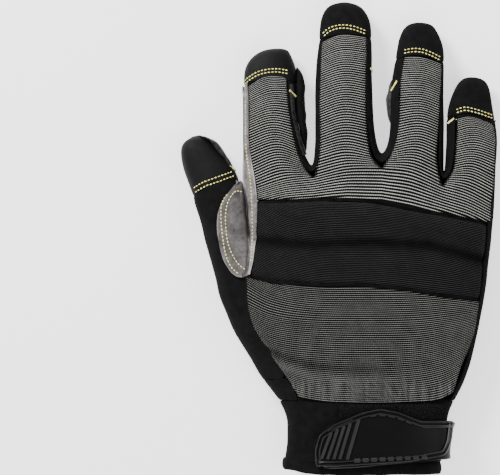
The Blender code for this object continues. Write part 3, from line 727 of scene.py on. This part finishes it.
LOWER_LINES = (
    ((246, 266), (275, 281), (317, 286), (363, 286), (410, 286), (443, 284), (484, 281)),
    ((246, 281), (272, 295), (310, 302.5), (363, 304), (415, 303), (450, 300), (481.5, 297)),
    ((247, 305), (273, 316), (310, 321), (363, 322), (415, 321), (450, 317), (479.3, 312)),
    ((252.6, 327), (276, 337), (312, 342), (363, 344), (415, 343), (447, 337), (476.2, 329)),
    ((265.4, 349), (286, 359), (317, 363), (363, 365), (412, 363), (443, 357), (470.5, 347)),
    ((281, 371), (299, 378), (325, 382), (368, 384), (412, 382), (440, 377), (462, 367)),
    ((298.5, 398), (315, 401), (335, 403), (375, 404), (412, 403), (437, 401), (454, 393)),
)
# A fold across the wrist cloth, dented in and darkened with painted shade, with painted light below it where
# no bulge is modelled
LOWER_FOLD = ((250, 343), (268, 350), (287, 358), (313, 366), (350, 370), (393, 369), (430, 362), (470, 345))
LOWER_FOLD_DEPTH = 0.0011
LOWER_FOLD_WIDTH = 4.2
LOWER_FOLD_SHADE = 0.6
LOWER_FOLD_LIGHT = 0.3
LOWER_FOLD_FADES = 250, 24, 452, 150
LOWER_BULGE_BELOW = 2.4
LOWER_BULGE_WIDTH = 1.3
# The gathered end, lightened with painted light, with painted light and shade along its folds
GATHER_TOP = 376
GATHER_FADE = 12
GATHER_PITCH = 2.3
GATHER_LENGTH = 40
GATHER_START = 5.1
GATHER_LIGHT = 0.2
GATHER_PAINTED_SHADING = 0.5
LOWER_END = ((298, 399), (324, 403.4), (391, 404.4), (454, 401.6))


def line_at(line, px):
    xs, ys = zip(*line)
    return np.interp(px, xs, ys)


def back_upper(tree):
    """Ribbed cloth over the fingers' backs and down to the band, as one sheet."""
    whole = bmesh.new()
    ends, sheets = [], []
    for name, lines in FINGER_LINES.items():
        places, ribs = rows_between(lines, FINGER_PITCH, FINGER_COLUMNS, fan=FINGER_FAN)
        sheets.append((places, ribs - ribs[-1, 0]))
        ends.append(places[-1] if not ends else places[-1][1:])
    start = np.concatenate(ends)
    count = BASE_RIBS
    share = np.arange(count * SAMPLES_PER_RIB + 1) / (count * SAMPLES_PER_RIB)
    end = start.copy()
    end[:, 1] = line_at(BASE_END, start[:, 0])
    rows = start[None] + (end - start)[None] * share[:, None, None]
    middle = rows[..., 0].mean()
    rows[..., 0] = middle + (rows[..., 0] - middle) * (1 - BASE_NARROWS * share[:, None])
    ribs = np.repeat((share * count)[:, None], rows.shape[1], axis=1)
    sheets.append(clipped(rows, ribs, BAND_TOP, True))
    for places, ribs in sheets:
        heights = heights_of(tree, places)
        joined(whole, grid_sheet(places, heights, ribs, threads_of(places)))
    bmesh.ops.remove_doubles(whole, verts=whole.verts, dist=SEWN_TOGETHER)
    wrinkle(whole, *FINGER_DENTS, (1, 0.5, 1), tree=tree)
    roll_edges(whole, tree=tree)
    shade_seams(whole)
    nodes = ("back_panel_upper",)
    ribs = (RIB_HEIGHT, tree)
    return piece("back_panel_fingers", whole, "rib_fabric", nodes, FABRIC, ribs=ribs)


def band(tree):
    """The padded knuckle band: two tubes with a broad soft valley between them, darkened along it with
    painted shade.
    """
    places, ribs = rows_between(BAND_LINES, BAND_PITCH, BAND_COLUMNS)
    places, ribs = clipped(places, ribs, BAND_TOP, False)
    places, ribs = clipped(places, ribs, BAND_BOTTOM, True)
    heights = heights_of(tree, places, blur=BAND_BLUR)
    off = (places[..., 1] - line_at(VALLEY, places[..., 0])) / VALLEY_WIDTH
    heights -= VALLEY_DEPTH * np.exp(-(off**2))
    shape = grid_sheet(places, heights, ribs, threads_of(places))
    bmesh.ops.remove_doubles(shape, verts=shape.verts, dist=SEWN_TOGETHER)
    # Painted shade along the valley, darkest on its line
    painted_shading_and_cut_edge = shape.verts.layers.float.new("painted_shading_and_cut_edge")
    for vert in shape.verts:
        px, py = pixel_of(vert.co)
        off = (py - line_at(VALLEY, px)) / VALLEY_SHADE_WIDTH
        vert[painted_shading_and_cut_edge] = -VALLEY_SHADE * math.exp(-(off**2))
    wrinkle(shape, *BAND_DENTS, (0.5, 1, 1), seed=2, tree=tree)
    roll_edges(shape, BAND_SEAM, BAND_SEAM_REACH, tree)
    nodes = ("knuckle_pad_upper", "knuckle_pad_lower")
    ribs = (BAND_RIB_HEIGHT, tree)
    return piece("knuckle_band", shape, "pad_fabric", nodes, BAND_WALL, ribs=ribs)


def back_lower(tree):
    """Ribbed cloth from the band down to the cuff, gathered at its lower end, with painted shade in a fold
    across it, painted light below the fold and painted light and shade over the gathers.
    """
    places, ribs = rows_between(LOWER_LINES, RIB_PITCH, LOWER_COLUMNS)
    places, ribs = clipped(places, ribs, BAND_BOTTOM, False)
    places, ribs = clipped(places, ribs, LOWER_END, True)
    shape = grid_sheet(places, heights_of(tree, places), ribs, threads_of(places))
    bmesh.ops.remove_doubles(shape, verts=shape.verts, dist=SEWN_TOGETHER)
    wrinkle(shape, *WRIST_DENTS, (0.6, 1, 1), seed=4, tree=tree)
    # Painted shade in the fold, painted highlight below it, painted light and shade over the gathers
    painted_shading_and_cut_edge = shape.verts.layers.float.new("painted_shading_and_cut_edge")
    for vert, way in ways_out(shape, tree).items():
        px, py = pixel_of(vert.co)
        share = min(1, max(0, (py - GATHER_TOP) / GATHER_FADE))
        fold = noise.noise(Vector((px / GATHER_PITCH, py / GATHER_LENGTH, GATHER_START)))
        off = (py - line_at(LOWER_FOLD, px)) / LOWER_FOLD_WIDTH
        left, in_over, right, out_over = LOWER_FOLD_FADES
        part = min(1, max(0, (px - left) / in_over)) * min(1, max(0, (right - px) / out_over))
        dent = part * math.exp(-(off**2))
        painted_bulge_highlight = part * math.exp(-(((off - LOWER_BULGE_BELOW) / LOWER_BULGE_WIDTH) ** 2))
        painted_gather_light = share * (GATHER_LIGHT + GATHER_PAINTED_SHADING * fold)
        vert[painted_shading_and_cut_edge] = painted_gather_light - LOWER_FOLD_SHADE * dent + LOWER_FOLD_LIGHT * painted_bulge_highlight
        vert.co += way * (GATHER_DEPTH * share * fold - LOWER_FOLD_DEPTH * dent)
    roll_edges(shape, tree=tree)
    shade_seams(shape)
    nodes = ("back_panel_lower",)
    ribs = (RIB_HEIGHT, tree)
    return piece("back_panel_wrist", shape, "dark_rib_fabric", nodes, FABRIC, ribs=ribs)


def light_rim(shape):
    """Marks the raw edge of a patch, where its cut shows."""
    painted_shading_and_cut_edge = shape.verts.layers.float.new("painted_shading_and_cut_edge")
    for vert, away in off_border(shape).items():
        vert[painted_shading_and_cut_edge] = math.exp(-((away / RIM_WIDTH) ** 2))


def cloth(name, node, finish, wall, levels=2, amount=0.0003, size=0.012):
    """A panel of the glove after its CAD node, smooth, softly dented and rolled in at its seams."""
    shape = smoothed(outer_skin(node), levels)
    wrinkle(shape, amount, size)
    roll_edges(shape, PANEL_SEAM)
    if finish == "grey_suede":
        light_rim(shape)
    return piece(name, shape, finish, (node,), wall)


# How the cuff's hem turns up at the thumb's side, in pixels, and how much fuller it is than its node
HEM_TURN_FROM = 320
HEM_TURN_OVER = 34
HEM_TURN_UP = 4.5
HEM_TURN_IN = 2.5
HEM_BOTTOM = 472
HEM_FULLER = 0.2


def cuff_roll():
    """The rolled hem of the cuff, fuller than its node and turned up at the thumb's side."""
    shape = smoothed(merged("cuff_binding"), 2)
    for vert in shape.verts:
        px, py = pixel_of(vert.co)
        share = min(1, max(0, (HEM_TURN_FROM - px) / HEM_TURN_OVER)) ** 1.5
        vert.co.y += ((HEM_BOTTOM - py) * HEM_FULLER + share * HEM_TURN_UP) * PIXEL
        vert.co.x -= share * HEM_TURN_IN * PIXEL
    wrinkle(shape, *ROLL_DENTS, seed=3)
    return piece("cuff_edge", shape, "black_suede", ("cuff_binding",))


def slab(name, node, finish):
    """A flat patch after its CAD node."""
    return piece(name, merged(node), finish, (node,))


def tree_over(*pieces):
    """A search tree of finished pieces."""
    whole = bmesh.new()
    for made in pieces:
        whole.from_mesh(made.data)
    tree = BVHTree.FromBMesh(whole)
    whole.free()
    return tree


def laid(tree, line):
    """A smooth line through pixels as places on the skin, met from above."""
    fine = curve(line, 12 * len(line))
    found = [tree.ray_cast(spot(px, py, ABOVE), -UP)[0] for px, py in fine]
    return [place for place in found if place is not None]


def beside(tree, line, apart):
    """A line of places moved sideways over the skin."""
    moved = []
    for number, place in enumerate(line):
        way = line[min(number + 1, len(line) - 1)] - line[max(number - 1, 0)]
        normal = tree.find_nearest(place)[1]
        moved.append(place + way.cross(normal).normalized() * apart)
    return moved


BORDER_ROUNDS = 10


def inside_border(node, inset):
    """A closed line of places inside the border of a node's outer skin, or of a patch's underside."""
    if node.startswith("palm_patch"):
        shape = merged(node)
        shape.normal_update()
        others = [face for face in shape.faces if face.normal.z > -0.6]
        bmesh.ops.delete(shape, geom=others, context="FACES")
    else:
        shape = smoothed(outer_skin(node), 2)
    links = {}
    for edge in shape.edges:
        if edge.is_boundary:
            for vert in edge.verts:
                links.setdefault(vert, []).append(edge.other_vert(vert))
    first = next(iter(links))
    loop, last = [first], None
    while True:
        ways = [vert for vert in links[loop[-1]] if vert is not last]
        if not ways or ways[0] is first or len(loop) > len(links):
            break
        last = loop[-1]
        loop.append(ways[0])
    line = []
    for vert in loop:
        inward = sum((f.calc_center_median() - vert.co for f in vert.link_faces), Vector())
        along = (links[vert][0].co - links[vert][-1].co).normalized()
        inward -= along * inward.dot(along)
        line.append(vert.co + inward.normalized() * inset)
    shape.free()
    for _ in range(BORDER_ROUNDS):
        line = [(line[n - 1] + 2 * line[n] + line[(n + 1) % len(line)]) / 4 for n in range(len(line))]
    return line + line[:1]


def bead(shape, start, end, normal, lift=STITCH_LIFT):
    """One stitch: a slim bead between two places, pressed into the cloth."""
    turn = (end - start).to_track_quat("X", "Z").to_matrix().to_4x4()
    ball = bmesh.ops.create_uvsphere(shape, u_segments=STITCH_SIDES, v_segments=STITCH_RINGS, radius=1)
    made = ball["verts"]
    for vert in made:
        vert.co.x *= (end - start).length / 2
        vert.co.y *= STITCH_RADIUS
        vert.co.z *= STITCH_RADIUS
    bmesh.ops.transform(shape, matrix=turn, verts=made)
    bmesh.ops.translate(shape, verts=made, vec=(start + end) / 2 + normal * lift)


def sew(shape, tree, line):
    """A row of stitches along a line of places on the skin."""
    points = np.array([tuple(place) for place in line])
    along = lengths_along(points)
    count = max(1, int(along[-1] / STITCH_PITCH))
    for number in range(count):
        centre = (number + 0.5) * along[-1] / count
        ends = []
        for place in (centre - STITCH_LENGTH / 2, centre + STITCH_LENGTH / 2):
            guess = Vector(np.interp(place, along, points[:, axis]) for axis in range(3))
            ends.append(tree.find_nearest(guess)[:2])
        (start, normal), (end, _) = ends
        if STITCH_LENGTH / 3 < (end - start).length < 2 * STITCH_LENGTH:
            bead(shape, start, end, normal)


def tack(shape, tree, start, end, width):
    """A bar tack: short stitches close together across a line between two pixels."""
    line = laid(tree, (start, end))
    if len(line) < 2:
        return
    sides = beside(tree, line, width / 2), beside(tree, line, -width / 2)
    count = max(2, int((line[-1] - line[0]).length / TACK_PITCH))
    for number in range(count):
        place = round(number * (len(line) - 1) / (count - 1))
        one, other = (tree.find_nearest(side[place])[0] for side in sides)
        bead(shape, one, other, tree.find_nearest(line[place])[1], lift=TACK_LIFT)


def stitches(name, tree, lines=(), loops=(), tacks=(), rows=2, apart=ROW_APART):
    """Thread on the skin: rows along lines of pixels, closed rows of places and bar tacks."""
    shape = bmesh.new()
    for line in lines:
        places = laid(tree, line)
        for row in range(rows):
            sew(shape, tree, beside(tree, places, row * apart) if row else places)
    for loop in loops:
        sew(shape, tree, loop)
    for start, end, width in tacks:
        tack(shape, tree, start, end, width)
    return piece(name, shape, "thread", ())


RIDGE_STEP = 1.2
RIDGE_END = 0.18
RIDGE_END_MOST = 0.3
RIDGE_PROFILE = ((-0.5, -1), (-0.42, 0.6), (-0.25, 1), (0.25, 1), (0.42, 0.6), (0.5, -1))


def resampled(line, step):
    """A line of pixels cut into even steps."""
    line = np.asarray(line, float)
    along = lengths_along(line)
    count = max(2, round(along[-1] / step))
    place = np.linspace(0, along[-1], count + 1)
    return np.stack([np.interp(place, along, line[:, 0]), np.interp(place, along, line[:, 1])], axis=1)


def ridge(whole, tree, line, width, height, closed=False, lift=0.0):
    """A raised line along pixels, of a width in pixels and a height in metres, sunk in at its edges."""
    fine = resampled(line, RIDGE_STEP)
    if not closed:
        inset = min(RIDGE_END * width / np.linalg.norm(fine[-1] - fine[0]), RIDGE_END_MOST)
        first = fine[:1] + (fine[1] - fine[0]) * inset
        last = fine[-1:] + (fine[-2] - fine[-1]) * inset
        fine = np.concatenate([fine[:1], first, fine[1:-1], last, fine[-1:]])
    way = np.gradient(fine, axis=0)
    if closed:
        way[0] = way[-1] = fine[1] - fine[-2]
    way /= np.linalg.norm(way, axis=1)[:, None]
    side = np.stack([-way[:, 1], way[:, 0]], axis=1)
    shares = np.array(RIDGE_PROFILE)
    places = fine[:, None] + side[:, None] * (shares[:, 0] * width)[None, :, None]
    rise = np.repeat(shares[None, :, 1] * height, len(fine), axis=0)
    if not closed:
        rise[[0, -1]] = -height
    ground = np.full(rise.shape, np.nan)
    for index in np.ndindex(rise.shape):
        place = spot(*places[index])
        found = height_on(tree, place.x, place.y)
        if found is not None:
            ground[index] = found
    ground = np.where(np.isnan(ground), np.nanmean(ground), ground)
    part = grid_sheet(places, ground + rise + lift, np.zeros(rise.shape), np.zeros(rise.shape))
    if closed:
        bmesh.ops.remove_doubles(part, verts=part.verts, dist=MERGE)
    joined(whole, part)


def inset_line(line, distance):
    """A closed line of pixels moved inwards, its corners rounded."""
    line = np.asarray(line, float)
    fine = resampled(np.concatenate([line, line[:1]]), 1.0)[:-1]
    for _ in range(BORDER_ROUNDS):
        fine = (np.roll(fine, 1, axis=0) + 2 * fine + np.roll(fine, -1, axis=0)) / 4
    way = np.roll(fine, -1, axis=0) - np.roll(fine, 1, axis=0)
    way /= np.linalg.norm(way, axis=1)[:, None]
    side = np.stack([-way[:, 1], way[:, 0]], axis=1)
    centre = fine.mean(axis=0)
    if ((centre - fine) * side).sum() < 0:
        side = -side
    moved = fine + side * distance
    return np.concatenate([moved, moved[:1]])


STRAP_OUTLINE = (
    (315, 467), (314, 450), (318.6, 434), (334, 423), (362.6, 411), (380, 407.5), (399, 411), (420, 420),
    (454.4, 420), (454.4, 426.6), (452.5, 442), (448.7, 451.5), (445, 456), (441, 457),
    (410, 462), (334, 467),
)
STRAP_BARS = (
    ((321.6, 458.6), (331.2, 432)), ((327.6, 458.6), (337.6, 428.4)),
    ((333.6, 458.6), (344, 425.4)), ((339.6, 458.6), (350.2, 422.6)),
)
STRAP_WIDE_BAR = ((347, 459), (358.6, 418.8))
STRAP_RULES = (
    ((319, 461.4), (343.5, 461.2)), ((327.6, 430.6), (352.6, 418.8)),
    ((411.6, 421.6), (424, 427), (452, 426.4)),
)
STRAP_DASHES = (
    ((369.8, 415.8), (376, 415)), ((378.6, 414.8), (385.6, 414.9)), ((388, 415.6), (394.8, 417)),
    ((397, 417.8), (403.4, 420)), ((405.4, 421), (411, 423.2)),
)
STUDS = 9
STUDS_FROM = (357, 460)
STUDS_TO = (424, 456.6)
STUD_HALF = (3.1, -0.15)

# How far in from its outline the strap's borders run, and each relief line's width in pixels and height
STRAP_INSETS = (1.5, 5.4)
BORDER_SIZE = 1.7, 0.0008
BAR_SIZE = 4.0, 0.0010
WIDE_BAR_SIZE = 4.4, 0.0009
RULE_SIZE = 1.6, 0.0007
DASH_SIZE = 2.4, 0.0009
STUD_SIZE = 5.4, 0.0011
RELIEF_WALL = 0.0003


def strap_relief(tree):
    """The moulded lines of the strap: a double border, slanted bars, dashes and a row of studs."""
    whole = bmesh.new()
    for inset in STRAP_INSETS:
        ridge(whole, tree, inset_line(STRAP_OUTLINE, inset), *BORDER_SIZE, closed=True)
    for bar in STRAP_BARS:
        ridge(whole, tree, bar, *BAR_SIZE)
    ridge(whole, tree, STRAP_WIDE_BAR, *WIDE_BAR_SIZE)
    for rule in STRAP_RULES:
        ridge(whole, tree, rule, *RULE_SIZE)
    for dash in STRAP_DASHES:
        ridge(whole, tree, dash, *DASH_SIZE)
    start, end = np.array(STUDS_FROM), np.array(STUDS_TO)
    for number in range(STUDS):
        middle = start + (end - start) * number / (STUDS - 1)
        ridge(whole, tree, (middle - STUD_HALF, middle + STUD_HALF), *STUD_SIZE)
    # The relief's rubber is painted lighter than the strap's, as painted light on the raised lines
    return piece("strap_relief", whole, "relief_rubber_painted_light", (), RELIEF_WALL)


OVAL_LINES = (
    ((237, 181.2), (239.3, 180.8), (242, 181.2)), ((230.8, 186), (238, 185.4), (245.6, 186)),
    ((226, 192), (236, 191.2), (246.6, 192)), ((221.7, 200), (235, 199.2), (247.6, 200)),
    ((218.3, 210), (233.5, 209.4), (248.8, 210)), ((216.8, 222), (233, 221.9), (249.8, 222)),
    ((217.2, 235), (234, 235.4), (250.6, 235)), ((219.3, 248), (235.5, 248.8), (251.2, 248)),
    ((223.2, 260), (237.5, 261.4), (251.3, 260)), ((227.8, 268), (239.5, 270), (250.8, 268)),
    ((231.8, 273.2), (241, 274.8), (249, 272.8)), ((236.4, 276.6), (241.8, 277.2), (246.8, 275.6)),
)


OVAL_COLUMNS = 36
OVAL_LIFT = 0.0003


def oval_patch(tree):
    """The oval of suede over the web of the thumb, its right edge tucked under the index strip."""
    places, _ = rows_between(OVAL_LINES, PATCH_PITCH, OVAL_COLUMNS)
    flat = np.zeros(places.shape[:2])
    shape = grid_sheet(places, heights_of(tree, places, blur=PATCH_BLUR) + OVAL_LIFT, flat, flat)
    light_rim(shape)
    wrinkle(shape, *OVAL_DENTS, seed=6)
    roll_edges(shape, PATCH_SEAM)
    return piece("web_patch", shape, "grey_suede", ("thumb_patch",), SUEDE)


INDEX_FOLD = (
    (297, 67, 0.6), (299.4, 75, 4.0), (300, 88, 5.4), (300, 103, 5.6), (301.2, 118, 5.4),
    (302.8, 133, 5.2), (303.2, 146, 3.9), (303, 156, 0.6),
)
FOLD_HEIGHT = 0.0085
THUMB_FOLD_HEIGHT = 0.011
FOLD_HALF = 0.0055
FOLD_AROUND = 16


RING_FOLD = (
    (392.5, 80, 0.5), (391.4, 90, 3.2), (390.6, 100, 4.2), (390.6, 110, 3.9),
    (391.4, 119, 2.2), (392, 124, 0.5),
)
THUMB_FOLD = (
    (200, 135.5, 0.6), (206.5, 137.6, 2.2), (213.5, 142.2, 3.0), (219.6, 149.4, 3.2), (225.2, 157.6, 3.0),
    (229.8, 166, 2.4), (234.2, 174.5, 1.6), (238.2, 181.5, 0.6),
)


def side_fold(name, table, finish, height=FOLD_HEIGHT):
    """A soft fold standing out from a finger's side, fullest in its middle."""
    rows = curve(table, 8 * len(table))
    angle = np.linspace(0, math.tau, FOLD_AROUND + 1)
    full = rows[:, 2] / rows[:, 2].max()
    across = rows[:, :1] + rows[:, 2:] * np.cos(angle)[None]
    down = np.repeat(rows[:, 1:2], FOLD_AROUND + 1, axis=1)
    heights = height + FOLD_HALF * full[:, None] * np.sin(angle)[None]
    flat = np.zeros(heights.shape)
    shape = grid_sheet(np.stack([across, down], axis=2), heights, flat, flat)
    bmesh.ops.remove_doubles(shape, verts=shape.verts, dist=MERGE)
    bmesh.ops.holes_fill(shape, edges=[edge for edge in shape.edges if edge.is_boundary])
    bmesh.ops.recalc_face_normals(shape, faces=shape.faces)
    wrinkle(shape, *FOLD_DENTS, seed=9)
    return piece(name, shape, finish, ())


INDEX_EDGE_SIZE = 4.4, 0.0006
EDGE_WALL = 0.0004
INDEX_EDGE = ((291.5, 84), (292.3, 98), (293.6, 112), (296.8, 128), (300.8, 143), (305, 155))


def painted_highlight_edge(name, tree, line, width, height, finish, slot):
    """A narrow raised strip of leather, painted lighter as the highlight on a finger's lit side wall."""
    whole = bmesh.new()
    ridge(whole, tree, curve(line, 60), width, height)
    return piece(name, whole, finish, (), EDGE_WALL)


STRIP_LINES = (
    ((241.8, 86), (244.4, 86), (246.8, 86)), ((242.2, 100), (245, 100), (247.8, 100)),
    ((242.3, 120), (245, 120), (247.8, 120)), ((242.3, 141), (245, 141), (247.9, 141)),
    ((242.4, 160), (246.6, 160), (250.7, 160)), ((242.5, 178), (248.4, 178), (254, 178)),
    ((243, 190), (249.5, 190), (255.5, 190)), ((244.4, 200), (250.6, 200), (256.1, 200)),
    ((246.1, 212), (251.4, 212), (256.1, 212)), ((247.5, 228), (251.7, 228), (255.5, 228)),
    ((248.3, 240), (251.8, 240), (254.8, 240)), ((248.9, 252), (251.4, 252), (253.6, 252)),
    ((248.8, 264), (250.5, 264), (252, 264)), ((247.6, 274), (248.6, 274.4), (249.6, 274.6)),
)
STRIP_TUCK = 2.4
STRIP_SEAM = 0.0006
STRIP_COLUMNS = 8
STRIP_FACE_WALL = 0.0008
STRIP_RIGHT = tuple((line[2][1], line[2][0]) for line in STRIP_LINES)


def index_strip():
    """The suede strip down the index finger's side, as far as the cloth's edge lets it show."""
    shape = smoothed(outer_skin("index_side_patch"), 2)
    for vert in shape.verts:
        px, py = pixel_of(vert.co)
        vert.co.x += min(0, line_at(STRIP_RIGHT, py) - STRIP_TUCK - px) * PIXEL
    roll_edges(shape, STRIP_SEAM)
    nodes = ("index_side_patch",)
    return piece("index_side_strip", shape, "pale_suede", nodes, SUEDE)


def strip_face(tree):
    """The strip's upper edge, lying over the cloth and running out over the web patch."""
    places, _ = rows_between(STRIP_LINES, PATCH_PITCH, STRIP_COLUMNS)
    flat = np.zeros(places.shape[:2])
    shape = grid_sheet(places, heights_of(tree, places, blur=PATCH_BLUR) + STRIP_LIFT, flat, flat)
    light_rim(shape)
    roll_edges(shape, PATCH_SEAM)
    nodes = ("index_side_patch",)
    return piece("index_strip_face", shape, "pale_suede", nodes, STRIP_FACE_WALL)


SEAM_LINES = (
    *(lines[0] for lines in FINGER_LINES.values()), BAND_TOP, BAND_BOTTOM,
    ((281.5, 398.8), (298, 400), (324, 403.6), (391, 404.6), (459, 401.4)),
    ((288.5, 453.6), (300, 456), (340, 457.5), (380, 457.5), (438, 457)),
)


SEAM_INSET = 0.03
ALLOWANCE_SIZE = 6.0, 0.0005
ALLOWANCE_DEPTH = 0.0016


def seam_allowances(tree):
    """The turned-in edges that close the seams from below."""
    whole = bmesh.new()
    for line in SEAM_LINES:
        ridge(whole, tree, curve(line, 40, SEAM_INSET), *ALLOWANCE_SIZE, lift=-ALLOWANCE_DEPTH)
    return piece("seam_allowances", whole, "black_suede", (), EDGE_WALL)


PANELS = (
    "back_panel_upper", "knuckle_pad_upper", "knuckle_pad_lower", "back_panel_lower", "index_side_patch",
    "side_little", "fourchette_index_middle", "fourchette_middle_ring", "fourchette_ring_little",
    "palm_panel", "tip_index", "tip_middle", "tip_ring", "tip_little", "thumb_shell", "thumb_cap", "cuff",
)
skin = tree_of(PANELS)
back_upper(skin)
band(skin)
back_lower(skin)
index_strip()
cloth("little_finger_side", "side_little", "black_suede", SUEDE)
cloth("gusset_index_middle", "fourchette_index_middle", "black_suede", SUEDE)
cloth("gusset_middle_ring", "fourchette_middle_ring", "black_suede", SUEDE)
cloth("gusset_ring_little", "fourchette_ring_little", "black_suede", SUEDE)
cloth("palm", "palm_panel", "black_suede", SUEDE)
cloth("fingertip_index", "tip_index", "smooth_leather", SUEDE)
for finger in ("middle", "ring", "little"):
    cloth(f"fingertip_{finger}", f"tip_{finger}", "black_suede", SUEDE)
cloth("thumb", "thumb_shell", "black_suede", SUEDE, amount=0.0006, size=0.014)
cloth("thumb_end", "thumb_cap", "smooth_leather", SUEDE)
cloth("wrist_cuff", "cuff", "black_suede", CUFF_WALL, amount=0.0008, size=0.010)
web_patch = oval_patch(tree_of(("thumb_patch", "thumb_shell")))
cloth("loop_field_pile", "loop_field", "loop_pile", SUEDE, levels=4, amount=0.0004, size=0.0009)
strap = cloth("strap", "wrist_strap", "strap_rubber", STRAP_WALL, levels=3)
cuff_roll()
palm_patches = {}
for part in ("fingers", "heel", "thumb"):
    palm_patches[part] = slab(f"palm_suede_{part}", f"palm_patch_{part}", "grey_suede")
slab("pull_tab", "pull_loop", "red_webbing")
strap_relief(tree_over(strap))
strip_top = strip_face(tree_of(PANELS + ("thumb_patch",)))
seam_allowances(skin)

CAP_LINES = {
    "index": ((243.5, 82), (250, 76.2), (261, 70.6), (276, 68.7), (288, 70.4)),
    "middle": ((322.5, 33.5), (330, 27.5), (341, 24.8), (353, 26), (366, 30.5)),
    "ring": ((404, 50), (412, 48.6), (421, 48.8), (431, 52), (441, 57)),
    "little": ((456, 110), (462, 107.6), (468, 107.4), (480, 110.5), (493, 115)),
}
CAP_TACKS = {
    "index": ((289.6, 90.4), (295.4, 95.8), 0.0013),
    "middle": ((370.6, 68), (373.2, 72), 0.0012),
    "ring": ((391.8, 90), (397, 81), 0.0013),
    "little": ((448.6, 123), (454, 118.6), 0.0012),
}
for finger, line in CAP_LINES.items():
    stitches(f"cap_stitches_{finger}", skin, [line], tacks=[CAP_TACKS[finger]])
THUMB_LINE = ((193.5, 188), (202, 182.8), (213, 178.6), (223, 175), (232, 171.6))
THUMB_TACK = ((230, 165.5), (235, 170), 0.0018)
THUMB_ROWS_APART = 0.0024
stitches("thumb_cap_stitches", skin, [THUMB_LINE], tacks=[THUMB_TACK], apart=THUMB_ROWS_APART)
STRIP_LINE = (
    (245.6, 100), (246, 120), (246, 140), (247.2, 158), (249.4, 172), (250.7, 183),
    (251.8, 200), (252.4, 215), (252.6, 235), (251.8, 250), (250.8, 262),
)
stitches("strip_stitches", tree_over(strip_top), [STRIP_LINE], rows=1)
oval = tree_over(web_patch)
OVAL_OUTER_ROW = (
    (228, 194), (224.2, 199), (221.4, 206), (221, 217.5), (221.9, 230), (223.5, 242.5), (225.4, 253),
    (228, 261), (232.5, 268.6), (238.7, 273.8),
)
OVAL_INNER_ROW = (
    (242, 191.8), (236, 191.2), (231.9, 195), (227.7, 202.5), (225.7, 212.5), (225.7, 225), (226.9, 237.5),
    (229.4, 247.5), (233, 256), (238.8, 264.5), (245.5, 269.6),
)
stitches("web_patch_stitches", oval, [OVAL_OUTER_ROW, OVAL_INNER_ROW], rows=1)
side_fold("index_side_fold", INDEX_FOLD, "black_suede")
# The ring fold and the thumb's side edge take leather painted greyer as a highlight
side_fold("ring_side_fold", RING_FOLD, "side_leather")
side_fold("thumb_side_edge", THUMB_FOLD, "side_leather", THUMB_FOLD_HEIGHT)
painted_highlight_edge("index_side_edge_painted_highlight", skin, INDEX_EDGE, *INDEX_EDGE_SIZE, "side_leather", "black_suede")
PALM_ROWS = (0.0014, 0.0031)
for part, made in palm_patches.items():
    loops = [inside_border(f"palm_patch_{part}", inset) for inset in PALM_ROWS]
    stitches(f"palm_stitches_{part}", tree_over(made), loops=loops)

# Floor, light and camera
CAMERA_HEIGHT = 4.0
SENSOR = 0.036
MIDDLE_HEIGHT = 0.02
FLOOR_HALF = 3
FAR = 20
SKY_LIGHT = 0.65
# Each light's place, width and power
LIGHTS = {
    "key": ((-0.6, 0.75, 0.7), 0.4, 26),
    "fill": ((0.8, -0.3, 0.8), 0.8, 6),
    "front": ((-0.1, -0.9, 0.7), 0.8, 5),
}
floor = bpy.data.meshes.new("floor")
ground = bmesh.new()
bmesh.ops.create_grid(ground, x_segments=1, y_segments=1, size=FLOOR_HALF)
ground.to_mesh(floor)
ground.free()
floor_object = bpy.data.objects.new("floor", floor)
bpy.context.scene.collection.objects.link(floor_object)
floor.materials.append(floor_finish())


def area_light(name, place, size, power):
    data = bpy.data.lights.new(name, "AREA")
    data.size = size
    data.energy = power
    light = bpy.data.objects.new(name, data)
    light.location = place
    light.rotation_mode = "QUATERNION"
    light.rotation_quaternion = (Vector((0, 0, MIDDLE_HEIGHT)) - Vector(place)).to_track_quat("-Z", "Y")
    bpy.context.scene.collection.objects.link(light)


for name, light in LIGHTS.items():
    area_light(name, *light)

world = bpy.data.worlds.new("studio")
bpy.context.scene.world = world
world.use_nodes = True
world.node_tree.nodes["Background"].inputs["Color"].default_value = (1, 1, 1, 1)
world.node_tree.nodes["Background"].inputs["Strength"].default_value = SKY_LIGHT

centre = spot(PHOTO_WIDTH / 2, PHOTO_HEIGHT / 2)
data = bpy.data.cameras.new("camera")
data.sensor_width = SENSOR * 1000
data.lens = SENSOR * 1000 * (CAMERA_HEIGHT - MIDDLE_HEIGHT) / (PHOTO_WIDTH * PIXEL)
data.clip_end = FAR
camera = bpy.data.objects.new("camera", data)
camera.location = (centre.x, centre.y, CAMERA_HEIGHT)
bpy.context.scene.collection.objects.link(camera)
bpy.context.scene.camera = camera
